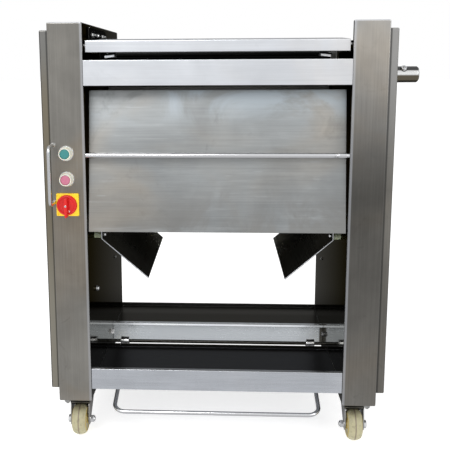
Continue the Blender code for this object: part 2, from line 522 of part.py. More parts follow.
# ---------------------------------------------------------------- castors
def castor(tag, sx, sy, trail):
    x, ky = CASTOR_X * sx, sy
    wy = ky + trail
    top = FOOT_Z - GAP
    swivel, spin = tag + "_swivel_axis", tag + "_wheel_axis"
    pivot(swivel, (x, ky, FOOT_Z))
    pivot(spin, (x, wy, WHEEL_R), swivel)
    hw = WHEEL_W / 2
    # fork: side plates folded from one blank, with the swivel head on top
    arms = [(ky + 0.020 * (-1 if trail < 0 else 1), 0.0860), (wy + 0.012 * (1 if trail > 0 else -1), 0.0300)]
    d = -1 if trail < 0 else 1
    side_shape = [(ky - 0.021 * d, 0.0880), (ky - 0.019 * d, 0.0700), (wy - 0.012 * d, 0.0350),
                  (wy - 0.008 * d, 0.0255), (wy + 0.008 * d, 0.0255), (wy + 0.012 * d, 0.0370),
                  (ky + 0.038 * d, 0.0790), (ky + 0.040 * d, 0.0835), (ky + 0.024 * d, 0.0880)]
    if d < 0:
        side_shape = side_shape[::-1]
    bm = prism(side_shape, "X", x - hw - 0.0050, x + hw + 0.0050)
    ob = add(tag + "_fork", bm, GREY, origin=(x, ky, FOOT_Z), parent=swivel)
    cut(ob, tag + "_fork_slot", brick((x - hw - 0.0025, ky - 0.08, 0.0), (x + hw + 0.0025, ky + 0.08, 0.0797)))
    join(ob, tag + "_swivel_head", turned([(0, 0.0865), (0.0230, 0.0865), (0.0245, 0.0900), (0.0245, 0.0985),
        (0.0225, 0.1010), (0.0120, 0.1020), (0.0120, top), (0, top)], "Z", (x, ky, 0), 28))
    bore(ob, tag + "_axle_hole", "X", (x, wy, WHEEL_R), 0.0053, -0.03, 0.03, 20)
    add(tag + "_wheel", turned([(0.0054, -hw), (0.0180, -hw), (0.0290, -hw + 0.0015),
        (0.0330, -hw + 0.0010), (0.0358, -0.0120), (WHEEL_R, 0), (0.0358, 0.0120),
        (0.0330, hw - 0.0010), (0.0290, hw - 0.0015), (0.0180, hw),
        (0.0054, hw)], "X", (x, wy, WHEEL_R), 24), NYLON, origin=(x, wy, WHEEL_R), parent=spin, smooth=40)
    s = 1 if sx > 0 else -1
    inner_face, outer_face = -s * (hw + 0.0053), s * (hw + 0.0053)
    add(tag + "_axle", turned([(0, inner_face - s * 0.0125), (0.0070, inner_face - s * 0.0125), (0.0095, inner_face - s * 0.0100),
        (0.0095, inner_face), (0.0050, inner_face), (0.0050, outer_face), (0.0095, outer_face),
        (0.0095, outer_face + s * 0.0060), (0, outer_face + s * 0.0060)], "X", (x, wy, WHEEL_R), 16), POLISH,
        origin=(x, wy, WHEEL_R), parent=swivel, smooth=40)

castor("castor_front_left", -1, CASTOR_FRONT_Y, -CASTOR_OFFSET)
castor("castor_front_right", 1, CASTOR_FRONT_Y, -CASTOR_OFFSET)
castor("castor_rear_left", -1, CASTOR_REAR_Y, -CASTOR_OFFSET)
castor("castor_rear_right", 1, CASTOR_REAR_Y, -CASTOR_OFFSET)

# ---------------------------------------------------------------- origin
# The handle stands furthest forward, the housings furthest back, the shaft end
# and the left cover furthest out to the sides.
MIDDLE = Vector(((COVER_OUT - HUB_X1) / 2, -(DEPTH + GRIP_Y - 0.00355) / 2, 0))
for ob in list(bpy.data.objects):
    if ob.parent is None:
        ob.location = ob.location + MIDDLE
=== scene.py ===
"""Looks of the open-top skinning machine: brushed sheet steel, plastics, fasteners."""
import bpy, bmesh, math
from mathutils import Vector, Matrix


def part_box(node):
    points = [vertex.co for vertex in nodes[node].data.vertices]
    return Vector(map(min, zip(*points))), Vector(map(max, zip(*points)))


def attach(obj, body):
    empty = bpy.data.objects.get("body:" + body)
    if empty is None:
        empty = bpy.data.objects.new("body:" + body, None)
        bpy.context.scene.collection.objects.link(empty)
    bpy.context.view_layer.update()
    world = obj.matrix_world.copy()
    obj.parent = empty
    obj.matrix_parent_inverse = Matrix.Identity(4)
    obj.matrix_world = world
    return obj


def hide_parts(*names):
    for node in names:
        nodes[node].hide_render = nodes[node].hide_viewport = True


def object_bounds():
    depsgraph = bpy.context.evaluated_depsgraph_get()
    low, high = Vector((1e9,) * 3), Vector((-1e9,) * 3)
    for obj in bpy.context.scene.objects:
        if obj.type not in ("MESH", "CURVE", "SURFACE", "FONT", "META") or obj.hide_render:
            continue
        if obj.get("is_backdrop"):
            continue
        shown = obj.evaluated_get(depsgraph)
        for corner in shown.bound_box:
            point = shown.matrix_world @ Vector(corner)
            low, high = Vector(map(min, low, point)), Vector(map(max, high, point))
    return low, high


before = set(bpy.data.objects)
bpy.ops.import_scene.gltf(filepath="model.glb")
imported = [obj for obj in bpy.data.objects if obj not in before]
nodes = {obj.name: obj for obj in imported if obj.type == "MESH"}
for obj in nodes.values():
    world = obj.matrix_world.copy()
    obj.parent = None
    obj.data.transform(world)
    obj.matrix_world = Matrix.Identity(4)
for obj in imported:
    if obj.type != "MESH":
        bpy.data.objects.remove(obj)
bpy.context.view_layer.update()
scene = bpy.context.scene
# Detail is laid out from the housings' centre plane and front faces; OFF carries it into the frame.
OFF = Vector((-0.03275, -0.251225, 0.0))

def box(node):
    lo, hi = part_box(node)
    return lo - OFF, hi - OFF

# ------------------------------------------------------------------ node helpers
class Graph:
    """Thin wrapper that keeps node graphs readable."""
    def __init__(self, tree):
        self.t = tree
        self.n = tree.nodes
        self.l = tree.links
    def put(self, kind, ins=None, **props):
        node = self.n.new(kind)
        for k, v in props.items():
            setattr(node, k, v)
        for k, v in (ins or {}).items():
            sock = node.inputs[k]
            if isinstance(v, bpy.types.NodeSocket):
                self.l.new(v, sock)
            else:
                sock.default_value = v
        return node
    def math(self, op, a, b=0.0, c=None, clamp=False):
        node = self.n.new("ShaderNodeMath")
        node.operation = op
        node.use_clamp = clamp
        for i, v in enumerate((a, b) if c is None else (a, b, c)):
            if isinstance(v, bpy.types.NodeSocket):
                self.l.new(v, node.inputs[i])
            else:
                node.inputs[i].default_value = v
        return node.outputs[0]
    def ramp(self, x, a, b, lo=0.0, hi=1.0, smooth=True):
        node = self.n.new("ShaderNodeMapRange")
        node.interpolation_type = "SMOOTHSTEP" if smooth else "LINEAR"
        self.l.new(x, node.inputs["Value"])
        for k, v in (("From Min", a), ("From Max", b), ("To Min", lo), ("To Max", hi)):
            node.inputs[k].default_value = v
        return node.outputs[0]
    def mix(self, f, a, b, blend="MIX"):
        node = self.n.new("ShaderNodeMix")
        node.data_type = "RGBA"
        node.blend_type = blend
        node.clamp_factor = True
        for sock, v in ((node.inputs[0], f), (node.inputs[6], a), (node.inputs[7], b)):
            if isinstance(v, bpy.types.NodeSocket):
                self.l.new(v, sock)
            else:
                sock.default_value = v if isinstance(v, float) else (*v, 1.0)[:4]
        return node.outputs[2]
    def noise(self, vec, scale, detail=3.0, rough=0.55, distortion=0.0):
        return self.put("ShaderNodeTexNoise", {"Vector": vec, "Scale": scale, "Detail": detail,
                        "Roughness": rough, "Distortion": distortion}).outputs["Fac"]
    def stretch(self, vec, s):
        return self.put("ShaderNodeVectorMath", {0: vec, 1: s}, operation="MULTIPLY").outputs[0]

def fresh(name):
    m = bpy.data.materials.new(name)
    m.use_nodes = True
    g = Graph(m.node_tree)
    return m, g, g.n["Principled BSDF"]

def layout(g):
    """Rest position in the layout frame; it stays with the piece when the piece moves."""
    tc = g.put("ShaderNodeTexCoord").outputs["Object"]
    return g.put("ShaderNodeVectorMath", {0: tc, 1: tuple(-OFF)}, operation="ADD").outputs[0]

GRAIN = {"X": ((3.0, 700.0, 700.0), (9.0, 150.0, 150.0)),
         "Y": ((700.0, 3.0, 700.0), (150.0, 9.0, 150.0)),
         "Z": ((700.0, 700.0, 3.0), (150.0, 150.0, 9.0))}

def brushed(name, base, grain="X", rough=0.34, warm=(0.62, 0.50, 0.36), warmth=0.10, cloud=0.16,
            fine=0.16, streak=0.10, bump=0.12, smudge=0.08, edge=0.35, z_fade=None, scratches=0.35,
            dark_floor=None, front_edge=None, anis=0.0, extra=None):
    """Brushed stainless sheet: grain, streaks, clouding, smudges, fine scratches, painted highlights on bends."""
    m, g, p = fresh(name)
    tc = layout(g)
    geo = g.put("ShaderNodeNewGeometry")
    sep = g.put("ShaderNodeSeparateXYZ", {0: tc})
    a, b = GRAIN[grain]
    n_fine = g.noise(g.stretch(tc, a), 1.0, 2.0, 0.6)
    n_streak = g.noise(g.stretch(tc, b), 1.0, 3.0, 0.6)
    n_cloud = g.noise(tc, 5.5, 4.0, 0.55, 0.4)
    n_smudge = g.noise(tc, 11.0, 6.0, 0.62, 1.6)
    n_warm = g.noise(tc, 3.1, 3.0, 0.5, 0.8)
    v = g.math("MULTIPLY_ADD", n_fine, fine, 1.0 - fine / 2)
    v = g.math("MULTIPLY", v, g.math("MULTIPLY_ADD", n_streak, streak, 1.0 - streak / 2))
    v = g.math("MULTIPLY", v, g.math("MULTIPLY_ADD", n_cloud, cloud, 1.0 - cloud / 2))
    mark = g.ramp(n_smudge, 0.58, 0.74, 0.0, smudge)
    v = g.math("MULTIPLY", v, g.math("SUBTRACT", 1.0, mark))
    if z_fade:
        z0, z1, lo, hi = z_fade
        v = g.math("MULTIPLY", v, g.ramp(sep.outputs[2], z0, z1, lo, hi))
    tint = g.mix(g.ramp(n_warm, 0.46, 0.72, 0.0, warmth), base, tuple(x * sum(base) / sum(warm) for x in warm))
    col = g.put("ShaderNodeVectorMath", {0: tint}, operation="SCALE")
    g.l.new(v, col.inputs["Scale"])
    colour = col.outputs[0]
    # hairline scratches: thin stretched cells turned a little off the grain
    turn = g.put("ShaderNodeMapping", {"Vector": tc, "Rotation": (0.35, 0.22, 0.5),
                 "Scale": tuple(14.0 if s < 10 else 260.0 for s in a)}).outputs[0]
    n_scr = g.noise(turn, 1.0, 1.0, 0.5)
    scr = g.math("MULTIPLY", g.ramp(n_scr, 0.71, 0.76, 0.0, scratches), g.ramp(n_cloud, 0.45, 0.6))
    colour = g.mix(scr, colour, tuple(min(1.0, x * 1.35) for x in base))
    # bends and corners are painted brighter as highlights
    n = g.put("ShaderNodeSeparateXYZ", {0: geo.outputs["Normal"]})
    flat = g.math("MAXIMUM", g.math("MAXIMUM", g.math("ABSOLUTE", n.outputs[0]), g.math("ABSOLUTE", n.outputs[1])),
                  g.math("ABSOLUTE", n.outputs[2]))
    edge_highlight = g.ramp(flat, 0.97, 0.88, 0.0, edge)
    colour = g.mix(edge_highlight, colour, tuple(min(1.0, x * 1.5 + 0.1) for x in base))
    rgh = g.math("ADD", g.math("MULTIPLY_ADD", n_fine, 0.12, rough - 0.06),
                 g.math("MULTIPLY_ADD", n_cloud, 0.14, -0.07))
    rgh = g.math("ADD", rgh, g.math("MULTIPLY", mark, 0.9))
    if extra:
        colour, rgh = extra(g, colour, rgh, sep, geo)
    g.l.new(colour, p.inputs["Base Color"])
    g.l.new(g.math("MAXIMUM", rgh, 0.05), p.inputs["Roughness"])
    p.inputs["Metallic"].default_value = 1.0
    if anis:
        p.inputs["Anisotropic"].default_value = anis
        axis = {"X": (1, 0, 0), "Y": (0, 1, 0), "Z": (0, 0, 1)}[grain]
        cross = g.put("ShaderNodeVectorMath", {0: axis, 1: geo.outputs["Normal"]}, operation="CROSS_PRODUCT").outputs[0]
        g.l.new(cross, p.inputs["Tangent"])
    h = g.math("ADD", n_fine, g.math("MULTIPLY", n_streak, 0.6))
    bmp = g.put("ShaderNodeBump", {"Height": h, "Strength": bump, "Distance": 0.0003})
    g.l.new(bmp.outputs[0], p.inputs["Normal"])
    return m

def polished(name, base=(0.82, 0.82, 0.83), rough=0.16, grain="X", stain=0.25):
    """Drawn and polished bar, bright screws: faint draw lines, water spots, dulled patches."""
    m, g, p = fresh(name)
    tc = layout(g)
    geo = g.put("ShaderNodeNewGeometry")
    n1 = g.noise(g.stretch(tc, GRAIN[grain][1]), 2.5, 2.0)
    n2 = g.noise(tc, 22.0, 4.0, 0.55)
    n3 = g.noise(tc, 9.0, 3.0)
    dull = g.ramp(n2, 0.55, 0.75, 0.0, stain * 0.6)
    colour = g.mix(dull, base, tuple(x * 0.62 for x in base))
    # painted highlight on convex edges
    colour = g.mix(g.ramp(geo.outputs["Pointiness"], 0.52, 0.60, 0.0, 0.5), colour, (0.95, 0.95, 0.95))
    g.l.new(colour, p.inputs["Base Color"])
    r = g.math("ADD", g.math("MULTIPLY_ADD", n1, 0.10, rough - 0.05), g.math("MULTIPLY", dull, 0.5))
    g.l.new(g.math("ADD", r, g.math("MULTIPLY", n3, 0.06)), p.inputs["Roughness"])
    p.inputs["Metallic"].default_value = 1.0
    bmp = g.put("ShaderNodeBump", {"Height": n1,
                "Strength": 0.03, "Distance": 0.0003})
    g.l.new(bmp.outputs[0], p.inputs["Normal"])
    return m

def plastic(name, base, rough=0.38, shade=0.18, dirt=(0.10, 0.08, 0.05), dirtiness=0.18, grit=900.0, bump=0.10,
            sub=0.0, trans=0.0, coat=0.0, extra=None):
    """Moulded plastic: fine spark-eroded grain, slight colour drift, patches of dirt, darker and browner in concave
    places, painted highlights on convex edges.
    """
    m, g, p = fresh(name)
    tc = layout(g)
    geo = g.put("ShaderNodeNewGeometry")
    n1 = g.noise(tc, grit, 2.0, 0.6)
    n2 = g.noise(tc, 75.0, 4.0, 0.55, 0.5)
    n3 = g.noise(tc, 28.0, 5.0, 0.6, 1.0)
    v = g.math("MULTIPLY_ADD", n2, shade, 1.0 - shade / 2)
    col = g.put("ShaderNodeVectorMath", {0: (*base,)}, operation="SCALE")
    g.l.new(v, col.inputs["Scale"])
    colour = g.mix(g.ramp(n3, 0.50, 0.76, 0.0, dirtiness), col.outputs[0], dirt)
    # darker and browner in concave places
    low = g.ramp(geo.outputs["Pointiness"], 0.40, 0.49, 0.55, 0.0)
    colour = g.mix(g.math("MULTIPLY", low, min(1.0, dirtiness * 3)), colour, dirt)
    # painted highlight on convex edges
    colour = g.mix(g.ramp(geo.outputs["Pointiness"], 0.53, 0.62, 0.0, 0.25), colour,
                   tuple(min(1.0, x * 1.25 + 0.04) for x in base))
    rgh = g.math("ADD", g.math("MULTIPLY_ADD", n1, 0.10, rough - 0.05), g.math("MULTIPLY", n3, 0.12))
    if extra:
        colour, rgh = extra(g, colour, rgh, g.put("ShaderNodeSeparateXYZ", {0: tc}), geo)
    g.l.new(colour, p.inputs["Base Color"])
    g.l.new(rgh, p.inputs["Roughness"])
    p.inputs["Subsurface Weight"].default_value = sub
    p.inputs["Subsurface Radius"].default_value = (0.004, 0.003, 0.002)
    p.inputs["Transmission Weight"].default_value = trans
    p.inputs["Coat Weight"].default_value = coat
    bmp = g.put("ShaderNodeBump", {"Height": n1, "Strength": bump, "Distance": 0.0002})
    g.l.new(bmp.outputs[0], p.inputs["Normal"])
    return m

# ------------------------------------------------------------------ materials
def wall_mask(g, colour, rgh, sep, geo):
    """Inner wall faces are smooth and painted dark as shade, with a painted grey reflection low down; the fronts are
    painted lighter and darker with height as light and shade, with painted highlights on the inner bend and the top
    rim.
    """
    ax = g.math("ABSOLUTE", sep.outputs[0])
    side = g.ramp(sep.outputs[0], -0.05, 0.05)
    z = sep.outputs[2]
    # painted light and shade: the fronts are painted lighter and darker with height, differently on the left and right
    # pillars
    right = g.math("MULTIPLY", g.ramp(z, 0.62, 0.93, 0.50, 1.60), g.ramp(z, 0.50, 0.20, 1.0, 1.75))
    left = g.math("MULTIPLY", g.ramp(z, 0.45, 0.15, 1.0, 1.22), g.ramp(z, 0.60, 0.90, 1.05, 0.96))
    height_light_shade = g.math("ADD", g.math("MULTIPLY", side, right), g.math("MULTIPLY", g.math("SUBTRACT", 1.0, side), left))
    col = g.put("ShaderNodeVectorMath", {0: colour}, operation="SCALE")
    g.l.new(height_light_shade, col.inputs["Scale"])
    cool = g.put("ShaderNodeVectorMath", {0: col.outputs[0], 1: (0.97, 1.03, 1.13)}, operation="MULTIPLY").outputs[0]
    colour = g.mix(g.math("MULTIPLY", side, g.ramp(z, 0.60, 0.90)), col.outputs[0], cool)
    # painted highlight on the inner vertical bend of each pillar
    inner_bend_highlight = g.math("MULTIPLY", g.ramp(ax, 0.2990, 0.2970, 0.0, 1.0), g.ramp(sep.outputs[1], 0.0060, 0.0030, 0.0, 1.0))
    colour = g.mix(g.math("MULTIPLY", inner_bend_highlight, 0.42), colour, (0.70, 0.72, 0.76))
    # painted highlight along the top rim of the housing
    painted_rim_line = g.ramp(z, 0.9815, 0.9830, 0.0, 1.0)
    colour = g.mix(g.math("MULTIPLY", painted_rim_line, 0.95), colour, (0.92, 0.935, 0.98))
    # painted shade: the inner faces are painted near black and given a weak reflection tint
    inner = g.math("MULTIPLY", g.ramp(ax, 0.2938, 0.2952, 1.0, 0.0), g.ramp(sep.outputs[1], 0.0020, 0.0040))
    deep = g.ramp(z, 0.880, 0.900)
    inner_shade = g.mix(deep, g.mix(side, (0.066, 0.059, 0.046), (0.036, 0.032, 0.024)), (0.056, 0.054, 0.049))
    # painted reflection: a grey patch on the low part of the inner walls, bounded along a slant
    slant = g.math("ADD", z, g.math("MULTIPLY_ADD", sep.outputs[1], 0.328, g.math("MULTIPLY", side, -0.0075)))
    low = g.math("MULTIPLY", g.ramp(slant, 0.347, 0.312), inner)
    inner_shade = g.mix(low, inner_shade, (0.30, 0.297, 0.285))
    colour = g.mix(inner, colour, inner_shade)
    g.l.new(g.mix(g.math("SUBTRACT", inner, low), g.mix(low, (1.0, 1.0, 1.0), (0.60, 0.60, 0.58)), g.mix(side, (0.19, 0.18, 0.155), (0.13, 0.12, 0.09))), g.n["Principled BSDF"].inputs["Specular Tint"])
    return colour, g.math("ADD", g.math("MULTIPLY", rgh, g.math("SUBTRACT", 1.0, inner)),
                          g.math("MULTIPLY", inner, 0.075))

def cover_mask(g, colour, rgh, sep, geo):
    """The narrow front edges change tone with height; painted shadow in the gap next to the pillar, painted shade along
    the outer edge.
    """
    n = g.put("ShaderNodeSeparateXYZ", {0: geo.outputs["Normal"]})
    front = g.math("MULTIPLY", g.ramp(n.outputs[1], -0.55, -0.85), g.ramp(sep.outputs[0], 0.0, -0.1))
    tone = g.mix(g.ramp(sep.outputs[2], 0.30, 0.60), (0.43, 0.40, 0.33), (0.275, 0.238, 0.172))
    tone = g.mix(g.ramp(sep.outputs[2], 0.78, 0.95), tone, (0.245, 0.243, 0.232))
    colour = g.mix(g.math("MULTIPLY", front, 0.85), colour, tone)
    right = g.math("MULTIPLY", g.ramp(n.outputs[1], -0.55, -0.85), g.ramp(sep.outputs[0], 0.0, 0.1))
    right = g.math("MULTIPLY", right, g.ramp(sep.outputs[2], 0.60, 0.90))
    colour = g.mix(g.math("MULTIPLY", right, 0.8), colour, (0.43, 0.43, 0.425))
    ax = g.math("ABSOLUTE", sep.outputs[0])
    # painted shadow in the gap next to the pillar and painted shade along the outer edge of the cover
    gap_shadow = g.math("MULTIPLY", g.ramp(ax, 0.3800, 0.3780), g.ramp(n.outputs[1], -0.55, -0.85))
    painted_rim_line = g.math("MULTIPLY", g.ramp(ax, 0.3904, 0.3920), g.ramp(n.outputs[1], -0.05, -0.25))
    painted_rim_line = g.math("MULTIPLY", painted_rim_line, g.ramp(sep.outputs[0], 0.1, 0.0, 0.25, 0.70))
    return g.mix(g.math("MAXIMUM", g.math("MULTIPLY", gap_shadow, 0.68), painted_rim_line), colour, (0.045, 0.045, 0.043)), rgh

M = {}
M["housing"] = brushed("housing_steel_brushed", (0.285, 0.272, 0.247), "Z", 0.38, warmth=0.60, cloud=0.85,
                       fine=0.35, streak=0.22, smudge=0.16, edge=0.30, bump=0.04, z_fade=(0.15, 0.95, 0.98, 1.02), extra=wall_mask)
M["cover"] = brushed("cover_steel_brushed", (0.262, 0.248, 0.222), "Z", 0.42, z_fade=(0.3, 0.95, 0.82, 1.15), warmth=0.5, cloud=0.7, fine=0.40,
                     streak=0.30, smudge=0.16, extra=cover_mask)
def panel_stain(g, colour, rgh, sep, geo):
    """Dried splashes and wipe marks: bluish bloom near the top edge, brown film lower down."""
    tc = layout(g)
    wipe = g.noise(g.stretch(tc, (4.0, 60.0, 60.0)), 1.0, 4.0, 0.62, 0.8)
    bloom = g.noise(tc, 6.5, 5.0, 0.6, 1.2)
    top = g.math("MULTIPLY", g.ramp(sep.outputs[2], 0.74, 0.83), g.ramp(bloom, 0.40, 0.60))
    colour = g.mix(g.math("MULTIPLY", top, 0.75), colour, (0.56, 0.63, 0.68))
    film = g.math("MULTIPLY", g.ramp(sep.outputs[2], 0.66, 0.54), g.ramp(bloom, 0.62, 0.42))
    colour = g.mix(g.math("MULTIPLY", film, 0.50), colour, (0.255, 0.242, 0.222))
    pale = g.math("MULTIPLY", g.ramp(wipe, 0.55, 0.70), g.ramp(bloom, 0.44, 0.58))
    colour = g.mix(g.math("MULTIPLY", pale, 0.35), colour, (0.52, 0.53, 0.53))
    return colour, g.math("ADD", rgh, g.math("MULTIPLY", film, 0.08))
M["panel"] = brushed("panel_steel_clouded", (0.375, 0.388, 0.390), "X", 0.38, warmth=0.40, cloud=0.65, fine=0.28,
                     streak=0.30, smudge=0.14, scratches=0.6, z_fade=(0.54, 0.84, 0.88, 1.06), extra=panel_stain)
def under_mask(g, colour, rgh, sep, geo):
    """Undersides and returns are painted dark as shade and made rougher."""
    n = g.put("ShaderNodeSeparateXYZ", {0: geo.outputs["Normal"]})
    # painted shade on faces that point down and on set-back front faces high up
    under = g.math("MAXIMUM", g.ramp(n.outputs[2], -0.35, -0.75),
                   g.math("MULTIPLY", g.math("MULTIPLY", g.ramp(sep.outputs[1], 0.056, 0.058), g.ramp(sep.outputs[2], 0.900, 0.905)),
                          g.ramp(n.outputs[1], -0.4, -0.7)))
    return g.mix(under, colour, (0.045, 0.045, 0.045)), g.math("ADD", rgh, g.math("MULTIPLY", under, 0.2))
def matt(name):
    """Takes the glare off a dark piece seen edge on."""
    M[name].node_tree.nodes["Principled BSDF"].inputs["Specular Tint"].default_value = (0.05, 0.05, 0.05, 1.0)
M["bright"] = brushed("bright_steel_brushed", (0.885, 0.905, 0.940), "X", 0.36, warmth=0.12, cloud=0.30, fine=0.16,
                      streak=0.12, smudge=0.05, edge=0.55, extra=under_mask)
def tray_mask(g, colour, rgh, sep, geo):
    """The tray floors are smoother than the brushed lips and are painted dark as shade."""
    n = g.put("ShaderNodeSeparateXYZ", {0: geo.outputs["Normal"]})
    # painted shade: the upward-facing floors are painted dark and given a weak reflection tint
    flat = g.math("MULTIPLY", g.ramp(n.outputs[2], 0.80, 0.97), g.ramp(sep.outputs[2], 0.1735, 0.1705))
    deep = g.ramp(sep.outputs[1], 0.30, 0.31)
    colour = g.mix(flat, colour, g.mix(deep, (0.165, 0.168, 0.175), (0.136, 0.132, 0.123)))
    g.l.new(g.mix(flat, (1.0, 1.0, 1.0), (0.25, 0.25, 0.25)), g.n["Principled BSDF"].inputs["Specular Tint"])
    # painted shade on the rear wall of the front tray
    heel = g.math("MULTIPLY", g.ramp(sep.outputs[1], 0.2400, 0.2450), g.ramp(sep.outputs[1], 0.2700, 0.2650))
    heel = g.math("MULTIPLY", heel, g.math("SUBTRACT", 1.0, flat))
    colour = g.mix(heel, colour, (0.055, 0.055, 0.058))
    # painted highlight: the lips and walls of the rear tray are painted near white
    back = g.math("MULTIPLY", g.ramp(sep.outputs[1], 0.30, 0.31), g.math("SUBTRACT", 1.0, flat))
    colour = g.mix(back, colour, (0.93, 0.97, 1.0))
    # painted shade over the far back wall of the rear tray
    far = g.math("MULTIPLY", g.ramp(sep.outputs[1], 0.48, 0.50), g.ramp(n.outputs[1], 0.5, 0.2))
    colour = g.mix(far, colour, (0.17, 0.165, 0.155))
    seam = g.math("MULTIPLY", g.ramp(sep.outputs[0], 0.2815, 0.2845), g.math("MULTIPLY", g.ramp(sep.outputs[1], 0.34, 0.345), g.ramp(sep.outputs[1], 0.362, 0.358)))
    colour = g.mix(g.math("MULTIPLY", seam, 0.9), colour, (0.07, 0.06, 0.035))
    return colour, g.math("ADD", g.math("MULTIPLY", rgh, g.math("SUBTRACT", 1.0, flat)), g.math("MULTIPLY", flat, 0.27))
M["tray"] = brushed("tray_steel_brushed", (0.72, 0.745, 0.79), "X", 0.28, warmth=0.08, cloud=0.4, fine=0.25, streak=0.25, edge=0.6, extra=tray_mask)
M["sheet"] = brushed("sheet_steel_brushed", (0.50, 0.49, 0.47), "X", 0.36, warmth=0.20, cloud=0.2)
def chute_edge(g, colour, rgh, sep, geo):
    """The sheared front edges stay bright."""
    front = g.ramp(sep.outputs[1], 0.0690, 0.0697, 1.0, 0.0)
    return g.mix(front, colour, (0.75, 0.76, 0.78)), rgh
M["chute"] = brushed("chute_steel_dark", (0.245, 0.243, 0.225), "Y", 0.30, warmth=0.1, cloud=0.5, fine=0.3, streak=0.4, extra=chute_edge)
M["rod"] = polished("polished_rod", grain="X")
M["hem"] = brushed("hem_steel_bright", (0.93, 0.955, 1.0), "X", 0.20, warmth=0.05, cloud=0.2, fine=0.15, streak=0.2)
M["rod_z"] = polished("polished_handle", grain="Z")
M["screw"] = polished("bright_screw", (0.78, 0.78, 0.78), 0.22, "X", 0.35)
def hub_shade(g, colour, rgh, sep, geo):
    """Lathe-turned rings; a painted highlight on the band facing slightly up, painted shade on top and underneath,
    warmer underneath.
    """
    n = g.put("ShaderNodeSeparateXYZ", {0: geo.outputs["Normal"]})
    rings = g.noise(g.stretch(layout(g), (900.0, 6.0, 6.0)), 1.0, 2.0)
    # painted highlight and shade by facing: bright band facing slightly up, dark on top and underneath
    low = g.math("MULTIPLY", g.ramp(n.outputs[2], 0.0, -0.16, 1.0, 0.20), g.ramp(n.outputs[2], 0.56, 0.42, 0.11, 1.0))
    col = g.put("ShaderNodeVectorMath", {0: colour}, operation="SCALE")
    g.l.new(g.math("MULTIPLY", low, g.math("MULTIPLY_ADD", rings, 0.30, 0.85)), col.inputs["Scale"])
    # painted shade: the underside turns warmer
    warm = g.put("ShaderNodeVectorMath", {0: col.outputs[0], 1: (0.92, 0.80, 0.60)}, operation="MULTIPLY").outputs[0]
    return g.mix(g.ramp(n.outputs[2], -0.02, -0.20), col.outputs[0], warm), rgh
matt("chute")
M["hub"] = brushed("turned_hub_steel", (0.98, 0.975, 0.96), "X", 0.15, warmth=0.3, cloud=0.3, fine=0.2, streak=0.1, extra=hub_shade)
def crown_shade(g, colour, rgh, sep, geo):
    """The castor crowns under the plate are painted dark as shade."""
    up = g.math("MULTIPLY", g.ramp(sep.outputs[2], 0.0765, 0.0790), g.ramp(sep.outputs[2], 0.120, 0.115))
    up = g.math("MULTIPLY", up, g.ramp(sep.outputs[1], 0.030, 0.036))
    return g.mix(g.math("MULTIPLY", up, 0.8), colour, (0.10, 0.095, 0.085)), rgh
M["fork"] = brushed("zinc_plated_fork", (0.48, 0.48, 0.47), "Z", 0.42, warmth=0.3, cloud=0.35, fine=0.06, smudge=0.3, extra=crown_shade)
def drum_mask(g, colour, rgh, sep, geo):
    """Only the crown of the drum keeps the steel colour; the rest is painted near black as shade."""
    return g.mix(g.ramp(sep.outputs[2], 0.9214, 0.9219, 0.99, 0.0), colour, (0.002, 0.002, 0.002)), rgh
M["drum"] = brushed("toothed_drum_steel", (0.60, 0.60, 0.59), "X", 0.30, extra=drum_mask)
M["pulley"] = brushed("turned_pulley_steel", (0.42, 0.42, 0.42), "X", 0.32)
# painted shade: near-black steel for pieces that sit in shade
M["bracket"] = brushed("bracket_steel_painted_shade", (0.035, 0.034, 0.032), "Z", 0.34)
def shade_mask(g, colour, rgh, sep, geo):
    """The ramp just behind the blade is painted dark as shade."""
    return g.mix(g.ramp(sep.outputs[1], 0.3275, 0.3250), colour, (0.02, 0.02, 0.02)), rgh
M["outfeed"] = brushed("outfeed_steel_brushed", (0.80, 0.81, 0.83), "X", 0.36, warmth=0.10, cloud=0.26, fine=0.22,
                       streak=0.22, extra=shade_mask)
# painted shade: shaft steel painted near black as shade
M["shade_dark_shaft"] = brushed("shaft_painted_shade_dark", (0.030, 0.029, 0.024), "X", 0.34, warmth=0.6, cloud=0.6)
# painted highlight: white stands in for the glint on a bolt head
M["highlight_white_bolt"] = plastic("bolt_painted_highlight_white", (0.93, 0.93, 0.93), 0.35, shade=0.06, dirtiness=0.05)
matt("bracket")
matt("drum")
# painted shade: screws painted dark, with their edges painted bright as highlights
M["dark_screw"] = brushed("screw_painted_shade_dark", (0.12, 0.12, 0.12), "X", 0.24, edge=0.9)
M["grey_paint"] = plastic("motor_grey_paint", (0.22, 0.25, 0.28), 0.42, grit=500.0, bump=0.25)
M["belt"] = plastic("belt_rubber", (0.03, 0.03, 0.03), 0.65, grit=700.0, bump=0.4, dirt=(0.12, 0.11, 0.10))
M["yellow"] = plastic("switch_yellow", (0.98, 0.62, 0.01), 0.33, shade=0.06, dirtiness=0.06)
M["red"] = plastic("switch_red", (0.62, 0.006, 0.004), 0.40, shade=0.12, dirtiness=0.02)
M["white"] = plastic("switch_mark_white", (0.85, 0.85, 0.82), 0.4, shade=0.05, dirtiness=0.08)
M["boot"] = plastic("button_boot_translucent", (0.80, 0.78, 0.68), 0.28, shade=0.10, dirtiness=0.12, sub=0.35, coat=0.3)
M["green"] = plastic("start_button_green", (0.040, 0.22, 0.215), 0.38, shade=0.2, dirtiness=0.10)
M["pink"] = plastic("stop_button_red", (0.50, 0.155, 0.235), 0.40, shade=0.2, dirtiness=0.10)
M["nylon"] = plastic("spacer_nylon", (0.36, 0.40, 0.27), 0.42, sub=0.25)

